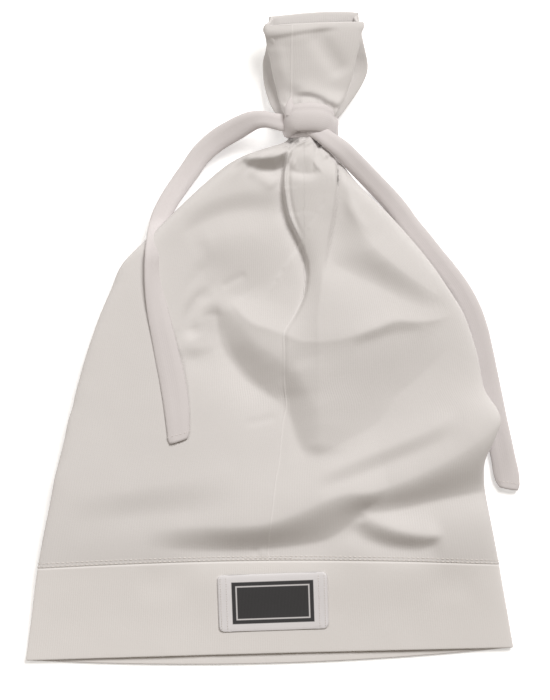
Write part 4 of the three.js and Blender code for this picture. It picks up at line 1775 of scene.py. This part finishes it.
@dataclass(frozen=True)
class Strip:
    """A soft strip swept along a path: at each place its half width and thickness.

    droop bends the strip's two edges down, roll turns it about the path, crease
    presses a line into its upper face at crease_at, square is how boxy its section
    is, and slant moves one edge ahead of the other.
    """

    centre: Array
    up: Array
    half_width: Array
    half_height: Array
    droop: float = 0.0
    roll: Array | float = 0.0
    crease: float = 0.0
    crease_at: float = 0.1
    crease_width: float = 0.14
    square: float = 3.0
    slant: Array | float = 0.0

    def rings(self, count: int) -> Array:
        """Sections of the strip, over its upper face from left to right.

        Args:
            count: Places of a section.

        Returns:
            Rings by places by XYZ, in millimetres.
        """
        run = unit(np.gradient(self.centre, axis=0))
        right = unit(np.cross(run, self.up))
        up = np.cross(right, run)
        turn = np.broadcast_to(self.roll, run.shape[:1])[:, None]
        right, up = right * np.cos(turn) + up * np.sin(turn), up * np.cos(turn) - right * np.sin(turn)
        angle = np.linspace(0.0, 2.0 * math.pi, count, endpoint=False)
        power = 2.0 / self.square
        side = -np.sign(np.cos(angle)) * np.abs(np.cos(angle)) ** power
        rise = np.sign(np.sin(angle)) * np.abs(np.sin(angle)) ** power
        press = self.crease * np.exp(-(((side - self.crease_at) / self.crease_width) ** 2))
        press = press * (rise > 0.0)
        lateral = side[None, :] * self.half_width[:, None]
        lift = rise[None, :] * self.half_height[:, None]
        lift = lift - press[None, :] - self.droop * side[None, :] ** 2
        ahead = np.broadcast_to(self.slant, run.shape[:1])[:, None] * lateral
        return (self.centre[:, None, :] + right[:, None, :] * lateral[:, :, None]
                + up[:, None, :] * lift[:, :, None] + run[:, None, :] * ahead[:, :, None])


def along(table: Sequence[tuple[float, float]], places: Array) -> Array:
    """Reads a short table of place and value smoothly.

    Args:
        table: Rising places and their values.
        places: Wanted places.

    Returns:
        The values.
    """
    known = np.array([row[0] for row in table])
    values = np.array([[row[1]] for row in table])
    return spline_columns(known, values, np.clip(places, known[0], known[-1]))[:, 0]


def path_length(path: Array) -> float:
    """Length of a path through points."""
    return float(np.linalg.norm(np.diff(path, axis=0), axis=1).sum())


@dataclass(frozen=True)
class TailShape:
    """Route and shape of one free end of the tie, from the knot to its sewn end.

    The tables hold a share of the length and a size in millimetres, or an angle.
    slant is how the sewn end slopes, and lies_from where the tail starts to lie on
    the crown, or 1 where it never does.
    """

    name: str
    node: str
    route: tuple[Point, ...]
    half_width: tuple[Plan, ...]
    half_height: tuple[Plan, ...]
    roll: tuple[Plan, ...]
    slant: float
    lies_from: float = 1.0


LEFT_TAIL = TailShape(
    "left_tie_end", "tail_left",
    ((14, 118.6, 21), (9.5, 118.8, 21.8), (4.1, 119.6, 21.8), (-3, 121, 20.4), (-10, 120.2, 17.2),
     (-20, 115.5, 12), (-29.5, 110, 8.4), (-38, 102.5, 7), (-44, 94, 7), (-50, 85.5, 8),
     (-55.8, 76.5, 10), (-60.4, 67, 12), (-62.6, 57.5, 14), (-64, 47, 14), (-64.2, 36, 14),
     (-63, 24, 14), (-61, 12, 14), (-58.5, 0, 14), (-56, -12, 14), (-53.5, -24, 14),
     (-51.5, -37, 14), (-50.4, -50, 14), (-50.2, -57, 14)),
    ((0, 5), (0.03, 4.8), (0.06, 4.4), (0.085, 4.8), (0.12, 5.7), (0.3, 5.8), (0.46, 5.3),
     (0.56, 4.8), (0.68, 5.9), (0.975, 6.2), (0.99, 5.9), (1, 4.8)),
    ((0, 1.6), (0.05, 2.3), (0.4, 2), (0.5, 1.5), (0.58, 1.15), (0.9, 1.15), (0.97, 1.1), (1, 0.9)),
    ((0, 0), (0.3, 0.1), (0.46, 0.25), (0.56, 0.5), (0.68, 0.1), (1, 0)),
    0.3, 0.44,
)

RIGHT_TAIL = TailShape(
    "right_tie_end", "tail_right",
    ((17.5, 117, 23.6), (22.5, 115.2, 25), (28.2, 112.4, 26.8), (33.4, 108.5, 27.6), (40, 103.6, 26.2),
     (46, 97.8, 22.4), (52.4, 91.7, 17), (59.2, 85.2, 11.4), (65.9, 78.5, 6.6), (72.2, 71.2, 3.9),
     (78, 63, 2.9), (84.5, 55, 2.9), (91.5, 46, 2.9), (98.8, 37, 2.9), (105.6, 27.5, 2.9),
     (111.3, 17, 2.9), (115.5, 5, 2.9), (118.4, -8, 2.9), (121, -21, 2.9), (123.6, -34, 2.9),
     (126.2, -47, 2.9), (129, -60, 2.9), (131.6, -73, 2.9), (133.4, -84, 2.9)),
    ((0, 3), (0.04, 4.2), (0.1, 5.2), (0.24, 5.6), (0.5, 6.2), (0.93, 6.8), (0.978, 6.8),
     (0.992, 6), (1, 4.8)),
    ((0, 1.4), (0.06, 2.2), (0.5, 1.9), (0.93, 1.8), (0.97, 1.6), (1, 1.2)),
    ((0, 0.15), (0.1, 0.1), (0.3, 0), (1, 0)),
    -0.35,
)


@dataclass
class TieTail:
    """A free end of the tie: a flattened jersey tube, sewn shut on a slant.

    bed is the path's height over the crown that the tail lies on, settles the share
    of the length in which it comes down there, evens over how many places on each
    side the crown's height is evened out, least the lowest height of the cloth, and
    around the places of a ring.
    """

    shape: TailShape
    finish: Material
    thread: Material
    width: float = 13.0
    bed: float = 0.85
    settles: float = 0.12
    evens: int = 6
    least: float = 0.05
    droop: float = 0.5
    step: float = 1.3
    around: int = 36

    def build(self, under: Surface) -> list[Object]:
        """Args:
            under: The crown, on which the tail may lie.

        Returns:
            The two pieces.
        """
        shape = self.shape
        length = path_length(spline(shape.route, 200))
        centre = spline(shape.route, round(length / self.step) + 1)
        share = np.linspace(0.0, 1.0, len(centre))
        if shape.lies_from < 1.0:
            found = [max(under.height(x + d, y) for d in (-4.0, 0.0, 4.0)) for x, y, _ in centre]
            padded = np.pad(np.array(found), self.evens, mode="edge")
            window = 2 * self.evens + 1
            rest = np.convolve(padded, np.full(window, 1.0 / window), mode="valid") + self.bed
            lies = smooth_step(share, shape.lies_from, shape.lies_from + self.settles)
            centre[:, 2] += lies * (rest - centre[:, 2])
            length = path_length(centre)
        strip = Strip(
            centre, np.broadcast_to(UPWARDS, centre.shape), along(shape.half_width, share),
            along(shape.half_height, share), droop=self.droop, roll=along(shape.roll, share), crease=0.5,
            slant=shape.slant * smooth_step(share, 0.93, 1.0),
        )
        rings = strip.rings(self.around)
        rings[:, :, 2] = np.maximum(rings[:, :, 2], self.least)
        closing = rings[-1:] * 0.45 + rings[-1:].mean(axis=1, keepdims=True) * 0.55
        points = np.concatenate([rings, closing + (rings[-1:] - rings[-2:-1]) * 0.2], axis=0)
        tube = dress(
            Skin(shape.name, points, cloth_map(points)).build(), self.finish, Slot.TIE_JERSEY, shape.node
        )
        row = rings[-4, 2 : self.around // 2 - 1] + np.array([0.0, 0.0, 0.1])
        stitches = Stitching(
            f"{shape.name}_stitches", [row], self.thread, stitch=1.4, gap=0.7, width=0.45, height=0.3
        ).build(Slot.TIE_JERSEY)
        return [tube, stitches]


@dataclass
class TieKnot:
    """The tie's turn round the neck, the strap over it and the loop's small corner."""

    finish: Material
    neck_x: float = 22.8
    neck_y: float = 116.75
    neck_z: float = 13.4
    neck_half: float = 11.6
    neck_rise: float = 9.2
    wrap_half_width: float = 5.4
    wrap_half_height: float = 1.7
    strap_half_height: float = 2.3
    lift: float = 0.5

    def build(self) -> list[Object]:
        """Makes the wrap, the strap and the corner.

        Returns:
            The three pieces.
        """
        return [self.wrap(), self.strap(), self.corner()]

    def wrap(self) -> Object:
        """Makes the turn of the tie round the neck.

        Returns:
            The finished piece.
        """
        turn = np.linspace(0.0, 2.0 * math.pi, 120, endpoint=False)[::-1]
        clear = self.wrap_half_height + self.lift
        ring = np.stack([
            self.neck_x + (self.neck_half + clear) * np.cos(turn),
            self.neck_y + 0.5 * np.sin(2.0 * turn),
            self.neck_z + (self.neck_rise + clear) * np.sin(turn),
        ], axis=1)
        up = np.stack([np.cos(turn), 0.0 * turn, np.sin(turn)], axis=1)
        wide = self.wrap_half_width * (1.0 + 0.05 * np.cos(3.0 * turn))
        centre, out, half = (np.concatenate([rows[-2:], rows, rows[:2]]) for rows in (ring, up, wide))
        thick = np.full(len(centre), self.wrap_half_height)
        strip = Strip(centre, out, half, thick, crease=0.4, square=2.8)
        points = strip.rings(28)[2:-2]
        skin = Skin("tie_turn", points, cloth_map(points), endless_run=True)
        return dress(skin.build(), self.finish, Slot.TIE_JERSEY, "tie_wrap")

    def strap(self) -> Object:
        """Makes the strap of the knot, a wide fold that domes over the neck.

        Returns:
            The finished piece.
        """
        # x, y and z of the path, and half the strap's width
        table = spline((
            (9.2, 115.8, 15, 5.2), (9.6, 117, 20, 6.2), (10.8, 119, 25, 7), (14, 121, 28.2, 7.6),
            (19.6, 121.6, 29.4, 8), (25.6, 121.6, 29.2, 8), (30.4, 120.6, 27.4, 7.8),
            (33.4, 118.6, 23.8, 7), (34.9, 117.2, 19.4, 6), (35.2, 116.6, 15, 5.2),
        ), 90)
        centre, wide = table[:, :3], table[:, 3]
        out = centre - np.array([self.neck_x, 0.0, self.neck_z])
        out[:, 1] = 0.0
        thick = np.full(len(centre), self.strap_half_height)
        strip = Strip(centre, out, wide, thick, droop=1.4, crease=0.4, crease_at=-0.5)
        points = strip.rings(48)
        skin = Skin("tie_strap", points, cloth_map(points))
        return dress(skin.build(), self.finish, Slot.TIE_JERSEY, "tie_knot")

    def corner(self) -> Object:
        """Makes the small pointed corner of cloth that stands out of the knot.

        Returns:
            The finished piece.
        """
        route = ((11.4, 122.5, 27.6), (11.2, 126, 28), (11.3, 129.6, 27.2), (11.7, 132.9, 25.8))
        share = np.linspace(0.0, 1.0, 24)
        centre = spline(route, len(share))
        wide = 2.7 * (1.0 - share**2.2) + 0.25
        upwards = np.broadcast_to(UPWARDS, centre.shape)
        strip = Strip(centre, upwards, wide, 0.9 - 0.5 * share, crease=0.25, droop=0.8)
        points = strip.rings(20)
        return dress(Skin("tie_corner", points, cloth_map(points)).build(), self.finish, Slot.TIE_JERSEY)


# ---------------------------------------------------------------- studio


@dataclass
class Studio:
    """Plain pale floor, soft light from the upper right, and the camera above.

    The view's middle and height and the focus are in millimetres, as the lens and the
    sensor are; the lamps' places and sizes are in metres and their powers in watts.
    """

    view_x: float = 3.05
    view_y: float = -6.4
    view_height: float = 388.5
    focus: float = 12.0
    lens: float = 150.0
    sensor: float = 36.0
    key_power: float = 490.0
    key_size: float = 3.2
    key_from: Point = (2.5, 4.1, 5.4)
    fill: float = 0.17
    side_power: float = 2.6
    side_size: float = 0.5
    side_from: Point = (-0.7, 0.1, 0.7)
    lamp_tint: Point = (1.0, 0.992, 0.98)
    room_tint: Colour = (1.0, 0.84, 0.64, 1.0)
    floor_half: float = 3.0

    def camera(self) -> Object:
        """Makes the camera, straight above the lying hat.

        Returns:
            The camera.
        """
        data = bpy.data.cameras.new("camera")
        data.lens = self.lens
        data.sensor_width = self.sensor
        distance = self.view_height * self.lens / self.sensor
        made = placed("camera", data)
        made.location = (self.view_x * MM, self.view_y * MM, (self.focus + distance) * MM)
        bpy.context.scene.camera = made
        return made

    def lamp(self, name: str, power: float, size: float, place: Point) -> None:
        """Makes a round soft lamp that shines at the origin.

        Args:
            name: Its name.
            power: Its power in watts.
            size: Its diameter in metres.
            place: Where it stands, in metres.
        """
        data = bpy.data.lights.new(name, "AREA")
        data.shape = "DISK"
        data.size = size
        data.energy = power
        data.color = self.lamp_tint
        made = placed(name, data)
        made.location = place
        made.rotation_euler = Vector(place).to_track_quat("Z", "Y").to_euler()

    def light(self) -> None:
        """Makes the large key lamp, the weak one at the left and the even fill of the room."""
        self.lamp("key", self.key_power, self.key_size, self.key_from)
        self.lamp("side", self.side_power, self.side_size, self.side_from)
        world = bpy.data.worlds.new("room")
        world.use_nodes = True
        ground = world.node_tree.nodes["Background"]
        ground.inputs["Color"].default_value = self.room_tint
        ground.inputs["Strength"].default_value = self.fill
        bpy.context.scene.world = world
        bpy.context.scene.view_settings.view_transform = "Standard"

    def floor(self, finish: Material) -> Object:
        """Makes the floor just under the hat.

        Args:
            finish: The floor's material.

        Returns:
            The floor.
        """
        mesh = bpy.data.meshes.new("floor")
        half = self.floor_half
        corners = [(-half, -half, 0.0), (half, -half, 0.0), (half, half, 0.0), (-half, half, 0.0)]
        mesh.from_pydata(corners, [], [(0, 1, 2, 3)])
        mesh.materials.append(finish)
        made = placed("floor", mesh)
        return made


# ---------------------------------------------------------------- whole hat


# How far the band seam's stitches stand over the cloth, and their least height.
SEAM_RISE = 0.12
SEAM_LEAST = 0.2


def seam_stitch_lines(crown: Crown) -> list[Array]:
    """Lines of the twin needle seam over the band, and where it overlaps.

    Args:
        crown: The crown, whose tube the lines follow.

    Returns:
        The lines, in millimetres.
    """
    first, second = crown.tube.sections[:2]
    lower, middle, upper = (
        crown.tube.rings(np.array([distance / (second.spine - first.spine)]), -SEAM_RISE, 220, 60)[0]
        for distance in (1.2, 2.4, 3.6)
    )
    lines = []
    for ring in (lower, upper):
        ring[:, 2] = np.maximum(ring[:, 2], SEAM_LEAST)
        lines.append(np.concatenate([ring, ring[:1]]))
    overlap = (middle[:, 0] > -14.0) & (middle[:, 0] < 12.0) & (middle[:, 2] > 8.0)
    return [*lines, middle[overlap]]


def main() -> None:
    """Builds the beanie over the frame, piece by piece."""
    logging.basicConfig(level=logging.INFO, format="%(name)s %(message)s")
    studio = Studio()
    studio.camera()
    tie_cloth = TIE_JERSEY.material()
    thread = THREAD.material()
    cloth = CROWN_JERSEY.material()
    # paler copy of the crown's jersey for the band: painted light
    brightened_band_cloth = BRIGHTENED_BAND_JERSEY.material()
    crown = Crown(cloth)
    body, ruff = crown.build()
    over = Surface(body)
    tails = [TieTail(shape, tie_cloth, thread).build(over) for shape in (LEFT_TAIL, RIGHT_TAIL)]
    band = HeadBand(brightened_band_cloth).build()
    label = SewnLabel(SATIN.material(), thread).build(Surface(band))
    knot = TieKnot(tie_cloth).build()
    stitches = Stitching("band_seam_stitches", seam_stitch_lines(crown), thread).build(Slot.JERSEY)
    studio.light()
    studio.floor(FLOOR.material())
    LOG.info("%d pieces in all", len([*tails[0], *tails[1], body, ruff, band, *label, *knot, stitches]))


if __name__ == "__main__":
    main()
